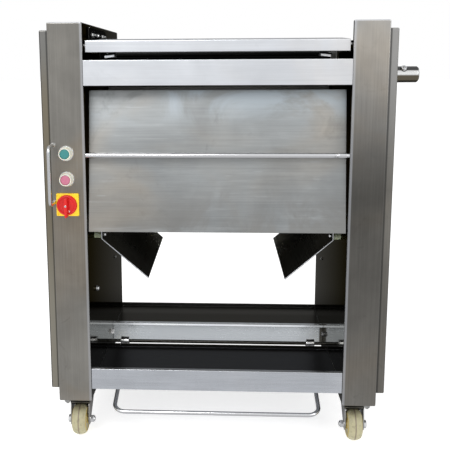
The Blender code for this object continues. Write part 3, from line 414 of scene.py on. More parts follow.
def tread(g, colour, rgh, sep, geo):
    """Scuffed rolling surface with grey parting line; sides stay cleaner and are painted a deep golden yellow as shade.
    """
    ax = g.math("ABSOLUTE", sep.outputs[0])
    off = g.math("ABSOLUTE", g.math("SUBTRACT", ax, 0.331))
    line = g.ramp(off, 0.0006, 0.0021, 0.85, 0.0)
    tc = layout(g)
    scuff = g.ramp(g.noise(tc, 130.0, 5.0, 0.65, 0.6), 0.50, 0.68, 0.0, 0.55)
    on_tread = g.ramp(off, 0.010, 0.014, 1.0, 0.25)
    colour = g.mix(g.math("MULTIPLY", scuff, on_tread), colour, (0.25, 0.22, 0.15))
    colour = g.mix(line, colour, (0.19, 0.14, 0.11))
    # painted shade: the wheel sides are painted a deep golden yellow, the colour they show in shade
    colour = g.mix(g.ramp(off, 0.0155, 0.0170), colour, (0.44, 0.32, 0.07))
    return colour, g.math("ADD", rgh, g.math("MULTIPLY", scuff, 0.25))
M["wheel"] = plastic("wheel_cream_nylon", (0.450, 0.418, 0.262), 0.42, shade=0.25, dirt=(0.34, 0.26, 0.13), dirtiness=0.45,
                     sub=0.15, extra=tread)

# ------------------------------------------------------------------ finish CAD nodes
def clean(o):
    """Drops the stored split normals, so that the modifiers shade the piece."""
    with bpy.context.temp_override(object=o, active_object=o, selected_objects=[o]):
        bpy.ops.mesh.customdata_custom_splitnormals_clear()
    me = o.data
    me.polygons.foreach_set("use_smooth", [True] * len(me.polygons))
    for name in ("sharp_edge", "sharp_face"):
        att = me.attributes.get(name)
        if att:
            me.attributes.remove(att)

def dress(node, mat, bevel=0.0006, segs=2, angle=28):
    o = nodes[node]
    clean(o)
    o.data.materials.clear()
    o.data.materials.append(M[mat])
    w = o.modifiers.new("join_corners", "WELD")
    w.merge_threshold = 0.00001
    d = o.modifiers.new("merge_flats", "DECIMATE")
    d.decimate_type = "DISSOLVE"
    d.angle_limit = math.radians(0.4)
    if bevel:
        b = o.modifiers.new("soft_edges", "BEVEL")
        b.width = bevel
        b.segments = segs
        b.limit_method = "ANGLE"
        b.angle_limit = math.radians(angle)
        b.use_clamp_overlap = True
        b.harden_normals = False
        b.miter_outer = "MITER_ARC"
        n = o.modifiers.new("flat_shading", "WEIGHTED_NORMAL")
        n.mode = "FACE_AREA_WITH_ANGLE"
        n.weight = 90
        n.keep_sharp = False
    else:
        e = o.modifiers.new("hard_edges", "EDGE_SPLIT")
        e.split_angle = math.radians(35)
    return o

PLAN = {"left_housing": ("housing", 0.0005), "right_housing": ("housing", 0.0005),
        "left_side_cover": ("cover", 0.0004), "right_side_cover": ("cover", 0.0004),
        "cross_beam": ("bright", 0.0006), "front_panel": ("panel", 0.0007),
        "hopper_back": ("sheet", 0.0007), "rear_cover": ("sheet", 0.0007),
        "left_deflector": ("chute", 0.0007), "right_deflector": ("chute", 0.0007),
        "front_tray": ("tray", 0.0008), "rear_tray": ("tray", 0.0008),
        # the left blade bracket takes the steel painted near black as shade; the right one stays plain sheet
        "blade_bracket_left": ("bracket", 0.0005), "blade_bracket_right": ("sheet", 0.0005),
        "blade_holder": ("bright", 0.0008), "skinning_blade": ("rod", 0.0),
        "outfeed_plate": ("outfeed", 0.0007), "top_table": ("bright", 0.0006),
        "feed_roller": ("drum", 0.0), "stripper_comb": ("sheet", 0.0005),
        "roller_bearing_left": ("fork", 0.0008), "roller_bearing_right": ("fork", 0.0008),
        "roller_pulley": ("pulley", 0.0003), "motor_pulley": ("pulley", 0.0003), "motor_shaft": ("rod", 0.0004),
        "drive_belt": ("belt", 0.0005), "gear_motor": ("grey_paint", 0.0010),
        "deflector_block_left": ("nylon", 0.0008), "deflector_block_right": ("nylon", 0.0008),
        "switch_plate": ("yellow", 0.0), "adjust_shaft": ("rod", 0.0004), "table_pin_left": ("screw", 0.0),
        "table_pin_right": ("screw", 0.0), "bracket_bolt_front": ("screw", 0.0), "bracket_bolt_rear": ("screw", 0.0),
        # the pedal shaft takes the steel painted near black as shade
        "pedal_shaft": ("shade_dark_shaft", 0.0005)}
for c in ("castor_front_left", "castor_front_right", "castor_rear_left", "castor_rear_right"):
    PLAN[c + "_fork"] = ("fork", 0.0007)
FOLDED = ("front_panel", "hopper_back", "rear_cover", "left_deflector", "right_deflector", "front_tray", "rear_tray",
          "outfeed_plate", "top_table", "cross_beam", "skinning_blade", "stripper_comb", "blade_holder")
for node, (mat, w) in PLAN.items():
    dress(node, mat, w, angle=7 if node in FOLDED else 28)

# ------------------------------------------------------------------ mesh builders
def piece(name, bm, mat, body, stands_for=(), smooth=38, bevel=0.0, segs=2):
    bmesh.ops.remove_doubles(bm, verts=bm.verts, dist=0.000005)
    bmesh.ops.recalc_face_normals(bm, faces=bm.faces)
    bmesh.ops.translate(bm, verts=bm.verts, vec=OFF)
    if bevel:
        edges = [e for e in bm.edges if len(e.link_faces) == 2 and e.calc_face_angle(0) > math.radians(30)]
        bmesh.ops.bevel(bm, geom=edges, offset=bevel, segments=segs, profile=0.5, affect="EDGES", clamp_overlap=True)
    me = bpy.data.meshes.new(name)
    bm.to_mesh(me)
    bm.free()
    me.shade_smooth()
    me.set_sharp_from_angle(angle=math.radians(smooth))
    me.materials.append(M[mat])
    o = bpy.data.objects.new(name, me)
    scene.collection.objects.link(o)
    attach(o, body)
    for n in stands_for:
        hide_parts(n)
    return o

AXES = {"X": (Vector((0, 1, 0)), Vector((0, 0, 1)), Vector((1, 0, 0))),
        "Y": (Vector((1, 0, 0)), Vector((0, 0, 1)), Vector((0, 1, 0))),
        "Z": (Vector((1, 0, 0)), Vector((0, 1, 0)), Vector((0, 0, 1)))}

def prism(points, axis, a, b):
    u, v, w = AXES[axis]
    bm = bmesh.new()
    face = bm.faces.new([bm.verts.new(u * p[0] + v * p[1] + w * a) for p in points])
    out = bmesh.ops.extrude_face_region(bm, geom=[face])
    bmesh.ops.translate(bm, verts=[g for g in out["geom"] if isinstance(g, bmesh.types.BMVert)], vec=w * (b - a))
    return bm

def turned(profile, axis, centre, steps=48):
    u, v, w = AXES[axis]
    c = Vector(centre)
    bm = bmesh.new()
    row = [bm.verts.new(c + u * r + w * h) for r, h in profile]
    edges = [bm.edges.new(p) for p in zip(row, row[1:])]
    if profile[0][0] > 1e-7:
        edges.append(bm.edges.new((row[-1], row[0])))
    bmesh.ops.spin(bm, geom=row + edges, cent=c, axis=w, dvec=(0, 0, 0), angle=math.tau, steps=steps, use_merge=True)
    bmesh.ops.remove_doubles(bm, verts=bm.verts, dist=0.00001)
    return bm

def fillet(profile, r, steps=4, skip=()):
    """Rounds the inner corners of a (radius, along) profile."""
    out = [profile[0]]
    for i in range(1, len(profile) - 1):
        a, b, c = (Vector((*profile[i + k], 0)) for k in (-1, 0, 1))
        u, v = a - b, c - b
        if i in skip or u.length < 1e-6 or v.length < 1e-6:
            out.append(profile[i]); continue
        rr = min(r, u.length * 0.45, v.length * 0.45)
        s, e = b + u.normalized() * rr, b + v.normalized() * rr
        for k in range(steps + 1):
            t = k / steps
            p = s * (1 - t) ** 2 + b * (2 * t * (1 - t)) + e * t ** 2
            out.append((p.x, p.y))
    out.append(profile[-1])
    return out

def rod(path, radius, sides=20, cap=0.0):
    """Round bar swept along a path; cap rounds its ends."""
    pts = [Vector(p) for p in path]
    radii = [radius] * len(pts)
    if cap:
        def dome(p, q):
            d = (p - q).normalized()
            return [(p - d * cap * (1 - math.sin(t)), radius - cap * (1 - math.cos(t)))
                    for t in (math.pi / 2 * k / 4 for k in range(1, 5))]
        first = dome(pts[0], pts[1])
        last = dome(pts[-1], pts[-2])
        pts = [p for p, _ in first[::-1]] + [pts[0] - (pts[0] - pts[1]).normalized() * cap] + pts[1:-1] \
            + [pts[-1] - (pts[-1] - pts[-2]).normalized() * cap] + [p for p, _ in last]
        radii = [r for _, r in first[::-1]] + [radius] * (len(pts) - 8) + [r for _, r in last]
    bm = bmesh.new()
    rings, normal = [], None
    for i, p in enumerate(pts):
        t = (pts[min(i + 1, len(pts) - 1)] - pts[max(i - 1, 0)]).normalized()
        if normal is None:
            normal = t.orthogonal().normalized()
        normal = (normal - t * normal.dot(t)).normalized()
        s = t.cross(normal)
        rings.append([bm.verts.new(p + (normal * math.cos(k * math.tau / sides) + s * math.sin(k * math.tau / sides)) * radii[i])
                      for k in range(sides)])
    for a, b in zip(rings, rings[1:]):
        for k in range(sides):
            bm.faces.new((a[k], a[(k + 1) % sides], b[(k + 1) % sides], b[k]))
    bm.faces.new(rings[0][::-1])
    bm.faces.new(rings[-1])
    return bm

def rounded_path(corners, radius, steps=12):
    pts = [Vector(c) for c in corners]
    out = [pts[0]]
    for a, b, c in zip(pts, pts[1:], pts[2:]):
        u, v = (a - b).normalized(), (c - b).normalized()
        half = u.angle(v) / 2
        reach = radius / math.tan(half)
        centre = b + (u + v).normalized() * (radius / math.sin(half))
        s, e = b + u * reach - centre, b + v * reach - centre
        for k in range(steps + 1):
            f = k / steps
            w = math.pi - 2 * half
            out.append(centre + (s * math.sin((1 - f) * w) + e * math.sin(f * w)) / math.sin(w))
    out.append(pts[-1])
    return out

def hexagon(cy, cz, af, turn=0.0):
    r = af / math.sqrt(3)
    return [(cy + r * math.cos(math.radians(60 * k + turn)), cz + r * math.sin(math.radians(60 * k + turn))) for k in range(6)]

def merge(*parts):
    """Several separate solids in one mesh."""
    bm = bmesh.new()
    for p in parts:
        me = bpy.data.meshes.new("tmp")
        p.to_mesh(me)
        p.free()
        bm.from_mesh(me)
        bpy.data.meshes.remove(me)
    return bm

def turned_hex(axis, centre, af, thick, start, turn=0.0):
    """Hexagon head or nut, chamfered like a real one, along axis from start to start + thick."""
    u, v, w = AXES[axis]
    c = Vector(centre)
    s = 1 if thick > 0 else -1
    t = abs(thick)
    r = af / math.sqrt(3)
    rows = ((r * 0.985, 0.0), (r, t * 0.06), (r, t * 0.80), (r * 0.90, t * 0.97), (r * 0.84, t))
    bm = bmesh.new()
    rings = []
    for rad, h in rows:
        ring = []
        for k in range(6):
            ang = math.radians(60 * k + turn)
            ring.append(bm.verts.new(c + (u * math.cos(ang) + v * math.sin(ang)) * rad + w * (start + s * h)))
        rings.append(ring)
    for a, b in zip(rings, rings[1:]):
        for k in range(6):
            bm.faces.new((a[k], a[(k + 1) % 6], b[(k + 1) % 6], b[k]))
    bm.faces.new(rings[0][::-1])
    bm.faces.new(rings[-1])
    return bm

def screw_set(name, body, axis, spots, af, head, washer, out=1, mat="screw"):
    """Hexagon screws with washers standing on a face; spots are full positions on that face."""
    u, v, w = AXES[axis]
    for i, (x, y, z) in enumerate(spots):
        rnd = 11.0 + 23.0 * (i % 5)
        bm = merge(turned([(0, 0), (washer, 0), (washer, out * 0.0009), (washer - 0.0004, out * 0.0012), (0, out * 0.0012)],
                          axis, (x, y, z), 24),
                   turned_hex(axis, (x, y, z), af, out * head, out * 0.0013, rnd))
        piece(f"{name}_{i + 1}", bm, mat, body)

# ------------------------------------------------------------------ rods
lo, hi = box("panel_bar")
by, bz, br = (lo.y + hi.y) / 2, (lo.z + hi.z) / 2, (hi.z - lo.z) / 2
piece("panel_bar_polished", rod([(lo.x, by, bz), (hi.x, by, bz)], br, 28, 0.0012), "rod", "frame", ["panel_bar"])
lo, hi = box("bar_sleeve")
x0, x1 = lo.x, hi.x
prof = fillet([(0, x0), (br - 0.0003, x0), (br - 0.0003, x0 + 0.004), (br - 0.0012, x0 + 0.0052), (br - 0.0012, x0 + 0.0066),
               (br, x0 + 0.0078), (br, x1 - 0.0060), (br - 0.0010, x1 - 0.0045), (br - 0.0010, x1), (0, x1)], 0.0006, 3)
piece("bar_sleeve_turned", turned(prof, "X", (0, by, bz), 36), "rod", "frame", ["bar_sleeve"])

lo, hi = box("grab_handle")
gr = 0.0036
gx = (lo.x + hi.x) / 2
grip = rounded_path([(gx, hi.y, hi.z - gr), (gx, lo.y + gr, hi.z - gr), (gx, lo.y + gr, lo.z + gr), (gx, hi.y, lo.z + gr)], 0.013)
piece("grab_handle_bent", rod(grip, gr, 20), "rod_z", "frame", ["grab_handle"])
for k, z in enumerate((hi.z - gr, lo.z + gr)):
    weld = [(gr, -0.0030), (gr + 0.0004, -0.0018), (gr + 0.0012, -0.0008), (gr + 0.0019, -0.0001), (gr - 0.0008, -0.0001), (gr - 0.0008, -0.0030)]
    piece(f"handle_weld_{k + 1}", turned(weld, "Y", (gx, 0, z), 24), "screw", "frame")

# ------------------------------------------------------------------ push buttons
for tag, mat, slot in (("start", "green", "start_green"), ("stop", "pink", "stop_red")):
    lo, hi = box(tag + "_button_boot")
    cx, cz = (lo.x + hi.x) / 2, (lo.z + hi.z) / 2
    prof = [(0.0055, -0.0003), (0.0157, -0.0003), (0.0160, -0.0012), (0.0158, -0.0030), (0.0150, -0.0042), (0.0147, -0.0060),
            (0.0144, -0.0100), (0.0139, -0.0150), (0.0136, -0.0178), (0.0131, -0.0194), (0.0124, -0.0202), (0.0117, -0.0200),
            (0.0113, -0.0192), (0.0113, -0.0110), (0.0055, -0.0110)]
    piece(tag + "_boot_moulded", turned(fillet(prof, 0.0006, 3), "Y", (cx, 0, cz), 56), "boot", "frame",
          [tag + "_button_boot"], smooth=50)
    cap = [(0, -0.0187), (0.0030, -0.01875), (0.0060, -0.01885), (0.0090, -0.0187), (0.0102, -0.0182), (0.0108, -0.0174), (0.0110, -0.0165),
           (0.0110, -0.0155), (0.0049, -0.0155), (0.0049, 0.0250), (0, 0.0250)]
    piece(tag + "_cap_moulded", turned(cap, "Y", (cx, 0, cz), 56), mat, tag + "_push", [tag + "_button"], smooth=50)
    collar = [(0.0160, -0.0002), (0.0172, -0.0002), (0.0172, -0.0010), (0.0168, -0.0014), (0.0162, -0.0014)]
    piece(tag + "_collar_ring", turned(collar, "Y", (cx, 0, cz), 48), "screw", "frame")

# ------------------------------------------------------------------ main switch
lo, hi = box("switch_knob")
cx, cz = -0.335, 0.582
S = (cx, 0, cz)
disc = [(0.0049, -0.0063), (0.0228, -0.0063), (0.0230, -0.0070), (0.0230, -0.0105), (0.0226, -0.0122), (0.0214, -0.0134),
        (0.0196, -0.0143), (0.0180, -0.0140), (0.0172, -0.0128), (0.0080, -0.0124), (0.0049, -0.0124)]
disc = [(0, 0.0200), (0.0049, 0.0200), (0.0049, -0.0063)] + disc[1:8] + [(0.0172, -0.0130), (0.0100, -0.0134), (0, -0.0136)]
piece("switch_dial_moulded", turned(disc, "Y", S, 72), "red", "main_switch", ["switch_knob"], smooth=40)
outline = []
for x, z in ((0.0052, 0.0195), (0.0062, 0.0060), (0.0060, -0.0060), (0.0052, -0.0180), (0.0030, -0.0262)):
    outline.append((cx + x, cz + z))
outline += [(cx - (x - cx), z) for x, z in outline[::-1]]
bm = prism(outline, "Y", -0.0268, -0.0120)
for v in bm.verts:                       # the grip narrows towards its crest
    if v.co.y < -0.02:
        v.co.x = cx + (v.co.x - cx) * 0.55
        v.co.z = cz + (v.co.z - cz) * (0.93 if v.co.z > cz else 1.0)
piece("switch_grip_moulded", bm, "red", "main_switch", smooth=45, bevel=0.0011, segs=3)
piece("switch_grip_screw", merge(turned([(0, -0.0262), (0.0020, -0.0262), (0.0024, -0.0266), (0.0024, -0.0268), (0.0020, -0.0270), (0, -0.0270)], "Y", S, 24)),
      "screw", "main_switch")
for k, (ang, r0, r1, w) in enumerate(((-24, 0.0105, 0.0165, 0.0008), (-24, 0.0090, 0.0100, 0.0008))):
    a = math.radians(ang)
    dx, dz = math.sin(a) * -1, -math.cos(a)
    nx, nz = -dz, dx
    pts = [(cx + dx * r + nx * s * w, cz + dz * r + nz * s * w) for r, s in ((r0, 1), (r1, 1), (r1, -1), (r0, -1))]
    piece(f"switch_mark_{k + 1}", prism(pts, "Y", -0.0139, -0.0133), "white", "main_switch")
# small lock window at the top of the dial and plate screws
piece("switch_lock_tab", prism([(cx - 0.0030, cz + 0.0155), (cx + 0.0030, cz + 0.0155), (cx + 0.0026, cz + 0.0190), (cx - 0.0026, cz + 0.0190)],
      "Y", -0.0152, -0.0138), "fork", "main_switch", bevel=0.0003)
for k, (sx, sz) in enumerate(((-1, -1), (1, -1), (-1, 1), (1, 1))):
    c = (cx + 0.0006 + sx * 0.0218, 0, cz + sz * 0.0219)
    piece(f"switch_plate_screw_{k + 1}", turned([(0, -0.0060), (0.0021, -0.0060), (0.0020, -0.0066), (0.0013, -0.0071), (0, -0.0073)], "Y", c, 20),
          "yellow", "frame")

# ------------------------------------------------------------------ adjusting shaft end
so = Vector((0, 0.120, 0.867))
hr = 0.0183
x0, x1 = box("shaft_hub")[0].x, box("shaft_hub")[1].x
prof = fillet([(0, x0), (hr, x0), (hr, x1 - 0.0032), (hr - 0.0027, x1), (0.0085, x1), (0.0080, x1 - 0.0012), (0, x1 - 0.0012)], 0.0005, 3)
hub = piece("shaft_hub_turned", turned(prof, "X", so, 72), "hub", "adjuster", ["shaft_hub"], smooth=40)
def leaning(bm):
    bmesh.ops.rotate(bm, verts=bm.verts, cent=so, matrix=Matrix.Rotation(math.radians(45), 3, "X"))
    return bm
def carve(o, bm, name):
    """Cuts a solid out of a piece and keeps the result as its mesh."""
    bmesh.ops.recalc_face_normals(bm, faces=bm.faces)
    bmesh.ops.translate(bm, verts=bm.verts, vec=OFF)
    me = bpy.data.meshes.new(name)
    bm.to_mesh(me)
    bm.free()
    tool = bpy.data.objects.new(name, me)
    scene.collection.objects.link(tool)
    tool.hide_render = True
    mod = o.modifiers.new(name, "BOOLEAN")
    mod.operation = "DIFFERENCE"
    mod.solver = "EXACT"
    mod.object = tool
    bpy.context.view_layer.update()
    new = bpy.data.meshes.new_from_object(o.evaluated_get(bpy.context.evaluated_depsgraph_get()))
    o.modifiers.remove(mod)
    old = o.data
    o.data = new
    bpy.data.meshes.remove(old)
    bpy.data.objects.remove(tool)
    o.data.set_sharp_from_angle(angle=math.radians(35))
    return o
sc = (0.4245, so.y, so.z)
carve(hub, leaning(turned([(0, 0.0085), (0.0077, 0.0085), (0.0077, 0.03), (0, 0.03)], "Z", sc, 40)), "screw_pocket")
head = fillet([(0, 0.0092), (0.0066, 0.0092), (0.0067, 0.0218), (0.0061, 0.0233), (0, 0.0233)], 0.0006, 3)
hs = piece("hub_screw_head", leaning(turned(head, "Z", sc, 40)), "screw", "adjuster", ["hub_screw"])
carve(hs, leaning(prism(hexagon(sc[0], sc[1], 0.0060, 10), "Z", so.z + 0.0178, so.z + 0.03)), "key_socket")

# ------------------------------------------------------------------ foot pedal
lo, hi = box("pedal_frame")
py, pz = 0.277, 0.1545
front = (0.030, 0.0700)
arm = [(-0.246, py - 0.0005, pz - 0.0125), (-0.246, *front), (0.246, *front), (0.246, py - 0.0005, pz - 0.0125)]
piece("pedal_loop_bent", rod(rounded_path(arm, 0.028, 14), 0.005, 24), "rod", "pedal", ["pedal_frame"])
for s in (-1, 1):
    prof = fillet([(0.0048, -0.011), (0.0111, -0.011), (0.0115, -0.0100), (0.0115, 0.0100), (0.0111, 0.011), (0.0048, 0.011)], 0.0005, 2)
    piece(f"pedal_hub_{'left' if s < 0 else 'right'}", turned(prof, "X", (s * 0.2485, py, pz), 40), "screw", "pedal")

hem = [(0.3517, 0.1790), (0.3508, 0.1793), (0.3500, 0.1787), (0.3482, 0.1740), (0.3486, 0.1733), (0.3517, 0.1733)]
piece("rear_tray_rolled_hem", prism(hem, "X", -0.2920, 0.2920), "hem", "frame", smooth=20)
# the front tray's rear hem takes the steel painted near black as shade
heel_hem = [(0.2531, 0.1500), (0.2531, 0.1553), (0.2536, 0.1558), (0.2549, 0.1558), (0.2554, 0.1553), (0.2554, 0.1500)]
piece("front_tray_rear_hem", prism(heel_hem, "X", -0.2920, 0.2920), "shade_dark_shaft", "frame", smooth=20)


# ------------------------------------------------------------------ castors
WR, HW = 0.0375, 0.01825
for tag, sx, ky in (("front_left", -1, 0.089), ("front_right", 1, 0.089), ("rear_left", -1, 0.478), ("rear_right", 1, 0.478)):
    name = "castor_" + tag
    x = 0.331 * sx
    wy = ky - 0.033
    prof = [(0.0054, -HW), (0.0105, -HW), (0.0118, -HW + 0.0008), (0.0122, -HW + 0.0028), (0.0232, -HW + 0.0034), (0.0254, -HW + 0.0022)]
    for k in range(0, 11):
        t = -1 + k / 10
        prof.append((0.0270 + (0.0372 - 0.0270) * math.sqrt(max(0.0, 1 - (abs(t) ** 2.1))), t * (HW - 0.0008)))
    prof[-1] = (0.0372, -0.0009)
    prof += [(0.0375, -0.0004)]
    prof = prof + [(r, -h) for r, h in prof[::-1]]
    piece(name + "_tread_moulded", turned(prof, "X", (x, wy, WR), 72), "wheel", name + "_roll", [name + "_wheel"], smooth=32)
    # axle bolt: hexagon head outside, nyloc nut inside
    s = sx
    face = HW + 0.0053
    shaft = turned([(0, -face - 0.0005), (0.0050, -face - 0.0005), (0.0050, face + 0.0005), (0, face + 0.0005)], "X", (x, wy, WR), 28)
    head = turned_hex("X", (x, wy, WR), 0.0165, s * 0.0052, s * (face + 0.0008), 12)
    wash = turned([(0.0051, s * face), (0.0084, s * face), (0.0084, s * (face + 0.0008)), (0.0051, s * (face + 0.0008))], "X", (x, wy, WR), 32)
    nut = turned_hex("X", (x, wy, WR), 0.0165, -s * 0.0080, -s * (face + 0.0012), 35)
    collar = turned([(0.0045, -s * (face + 0.0085)), (0.0064, -s * (face + 0.0085)), (0.0062, -s * (face + 0.0112)), (0.0045, -s * (face + 0.0116))], "X", (x, wy, WR), 28)
    wash2 = turned([(0.0051, -s * face), (0.0084, -s * face), (0.0084, -s * (face + 0.0012)), (0.0051, -s * (face + 0.0012))], "X", (x, wy, WR), 32)
    tail = turned([(0, -s * face), (0.0040, -s * face), (0.0040, -s * (face + 0.0119)), (0.0034, -s * (face + 0.0125)), (0, -s * (face + 0.0125))], "X", (x, wy, WR), 24)
    piece(name + "_axle_bolt", merge(shaft, head, wash, nut, collar, wash2, tail), "screw", name, [name + "_axle"])
    # painted shade: a near-black web fills the gap between the wheel and the crown
    web = [(ky + 0.0175, 0.0796), (ky + 0.0165, 0.0700), (ky + 0.0030, 0.0568), (ky + 0.0046, 0.0552), (ky + 0.0187, 0.0690), (ky + 0.0197, 0.0796)]
    piece(name + "_fork_gap_shade_web", prism(web, "X", x - HW - 0.0024, x + HW + 0.0024), "bracket", name, smooth=20)
    # bearing race skirt under the plate and dust ring
    ring = fillet([(0.0136, 0.1032), (0.0236, 0.1032), (0.0262, 0.1046), (0.0262, 0.1054), (0.0136, 0.1058)], 0.0005, 2)
    piece(name + "_race_ring", turned(ring, "Z", (x, ky, 0), 48), "fork", "frame")
    hx, hy, rr = 0.0315, 0.0580, 0.006
    corner = []
    for qx, qy, a0 in ((1, 1, 0), (-1, 1, 90), (-1, -1, 180), (1, -1, 270)):
        for k in range(5):
            a = math.radians(a0 + 22.5 * k)
            corner.append((x + qx * (hx - rr) + rr * math.cos(a), ky + qy * (hy - rr) + rr * math.sin(a)))
    plate = piece(name + "_top_plate", prism(corner, "Z", 0.1060, 0.1087), "fork", "frame", bevel=0.0003)
    carve(plate, turned([(0, 0.10), (0.0135, 0.10), (0.0135, 0.12), (0, 0.12)], "Z", (x, ky, 0), 32), name + "_plate_hole")
    spots = [(x + qx * 0.0225, ky + qy * 0.0490, 0.1060) for qx in (-1, 1) for qy in (-1, 1)]
    for i, (qx, qy, qz) in enumerate(spots):
        bm = merge(turned([(0.0, 0), (0.0072, 0), (0.0072, -0.0010), (0.0, -0.0010)], "Z", (qx, qy, qz), 24),
                   turned_hex("Z", (qx, qy, qz), 0.0120, -0.0058, -0.0010, 17 * i),
                   turned([(0, -0.0068), (0.0036, -0.0068), (0.0033, -0.0098), (0, -0.0100)], "Z", (qx, qy, qz), 16))
        piece(f"{name}_plate_nut_{i + 1}", bm, "screw", "frame")

# ------------------------------------------------------------------ screws on walls, covers and brackets
WALL = 0.2925
screw_set("left_wall_screw", "frame", "X", [(-WALL, 0.102, 0.355)], 0.0100, 0.0050, 0.0065, 1)
# the left low screw is painted white as a highlight; its twin on the right is painted dark as shade
screw_set("left_low_screw", "frame", "X", [(-WALL, 0.320, 0.165)], 0.0110, 0.0060, 0.0072, 1, "highlight_white_bolt")
screw_set("right_low_screw", "frame", "X", [(WALL, 0.320, 0.165)], 0.0110, 0.0060, 0.0072, -1, "dark_screw")
for s in (-1, 1):
    for n, y in (("front", 0.0170), ("rear", 0.5340)):
        at = (s * 0.3535, y, 0.109)
        bm = merge(turned([(0, 0), (0.0086, 0), (0.0086, -0.0014), (0, -0.0014)], "Z", at, 28),
                   turned_hex("Z", at, 0.0130, -0.0082, -0.0014, 12),
                   turned([(0, -0.0090), (0.0040, -0.0090), (0.0036, -0.0128), (0, -0.0130)], "Z", at, 20))
        piece(f"foot_bolt_{n}_{'left' if s < 0 else 'right'}", bm, "fork", "frame")
screw_set("left_small_screw", "frame", "X", [(-WALL, 0.416, 0.352)], 0.0060, 0.0025, 0.0042, 1, "fork")
screw_set("right_small_screw", "frame", "X", [(WALL, 0.416, 0.352)], 0.0060, 0.0025, 0.0042, -1, "fork")
bx = box("blade_bracket_left")[1].x
# the bracket bolts are painted dark as shade
for n, y, z, af in (("bracket_bolt_front", 0.100, 0.9585, 0.0105), ("bracket_bolt_rear", 0.240, 0.9590, 0.0112)):
    bm = merge(turned([(0, 0), (0.0068, 0), (0.0068, 0.0010), (0, 0.0010)], "X", (bx, y, z), 28),
               turned_hex("X", (bx, y, z), af, 0.0062, 0.0010, 8),
               turned([(0, 0.0072), (0.0034, 0.0072), (0.0034, 0.0120), (0.0029, 0.0126), (0, 0.0126)], "X", (bx, y, z), 20))
    piece(n + "_hex", bm, "dark_screw", "frame", [n])
screw_set("bracket_small_screw", "frame", "X", [(bx, 0.186, 0.9610)], 0.0060, 0.0030, 0.0045, 1)
lo, hi = box("deflector_block_left")
for s, node in ((-1, "left"), (1, "right")):
    inner = 0.2710 - 0.0013
    c = (s * inner, 0.095, 0.4915)
    piece(f"deflector_screw_{node}", merge(turned([(0, 0), (0.0052, 0), (0.0052, -s * 0.0008), (0, -s * 0.0008)], "X", c, 24),
          turned_hex("X", c, 0.0080, -s * 0.0040, -s * 0.0008, 20)), "screw", "frame")
for s, n in ((-1, "roller_bearing_left"), (1, "roller_bearing_right")):
    x = s * (0.2925 + 0.0025 + 0.0003 + 0.009)
    spots = [(x, 0.235 + 0.027 * math.cos(a), 0.880 + 0.027 * math.sin(a)) for a in (math.radians(45 + 90 * k) for k in range(4))]
    screw_set(n + "_screw", "frame", "X", spots, 0.0070, 0.0036, 0.0045, s)
# flush countersunk screws of the side covers and the rear cover
def flush_screw(name, axis, at, out, r=0.0050):
    """Countersunk screw, its head just proud of nothing: flush with the sheet."""
    cone = [(0, out * -0.0012), (r * 0.55, out * -0.0012), (r, out * -0.0001), (r, 0.0), (0, 0.0)]
    return turned([(a, h) for a, h in cone], axis, at, 28)
count = 0
for s, cover in ((-1, "left_side_cover"), (1, "right_side_cover")):
    o = nodes[cover]
    lo, hi = box(cover)
    x = s * 0.394
    ys = (lo.y + 0.014, (lo.y + hi.y) / 2, hi.y - 0.014)
    zs = (lo.z + 0.014, 0.40, 0.66, 0.905)
    spots = [(x, y, z) for y in (ys[0], ys[2]) for z in zs] + [(x, ys[1], zs[0]), (x, ys[1], zs[3])]
    cutters = merge(*[turned([(0, s * -0.0016), (0.0034, s * -0.0016), (0.0058, s * 0.0001), (0.0058, s * 0.003), (0, s * 0.003)], "X", p, 24) for p in spots])
    bmesh.ops.recalc_face_normals(cutters, faces=cutters.faces)
    bmesh.ops.translate(cutters, verts=cutters.verts, vec=OFF)
    me = bpy.data.meshes.new(cover + "_sinks")
    cutters.to_mesh(me)
    cutters.free()
    tool = bpy.data.objects.new(cover + "_sinks", me)
    scene.collection.objects.link(tool)
    tool.hide_render = True
    tool.hide_viewport = False
    mod = o.modifiers.new("countersinks", "BOOLEAN")
    mod.operation = "DIFFERENCE"
    mod.solver = "EXACT"
    mod.object = tool
    for p in spots:
        count += 1
        head = turned([(0, s * -0.0014), (0.0030, s * -0.0014), (0.0052, s * -0.0003), (0.0052, s * -0.0001), (0.0046, s * 0.0), (0, s * 0.0)], "X", p, 28)
        sc_o = piece(f"cover_screw_{count}", head, "screw", "frame")
        carve(sc_o, prism(hexagon(p[1], p[2], 0.0034, 25 * count), "X", p[0] - 0.0009 if s > 0 else p[0] - 0.001, p[0] + 0.001 if s > 0 else p[0] + 0.0009), "key")
lo, hi = box("rear_cover")
for i, (x, z) in enumerate([(sx * 0.272, z) for sx in (-1, 1) for z in (0.475, 0.664, 0.853)]):
    piece(f"rear_cover_screw_{i + 1}", turned([(0, 0.0), (0.0055, 0.0), (0.0050, 0.0007), (0.0030, 0.0007), (0.0028, 0.0002), (0, 0.0002)], "Y", (x, hi.y + 0.00005, z), 28),
          "screw", "frame")

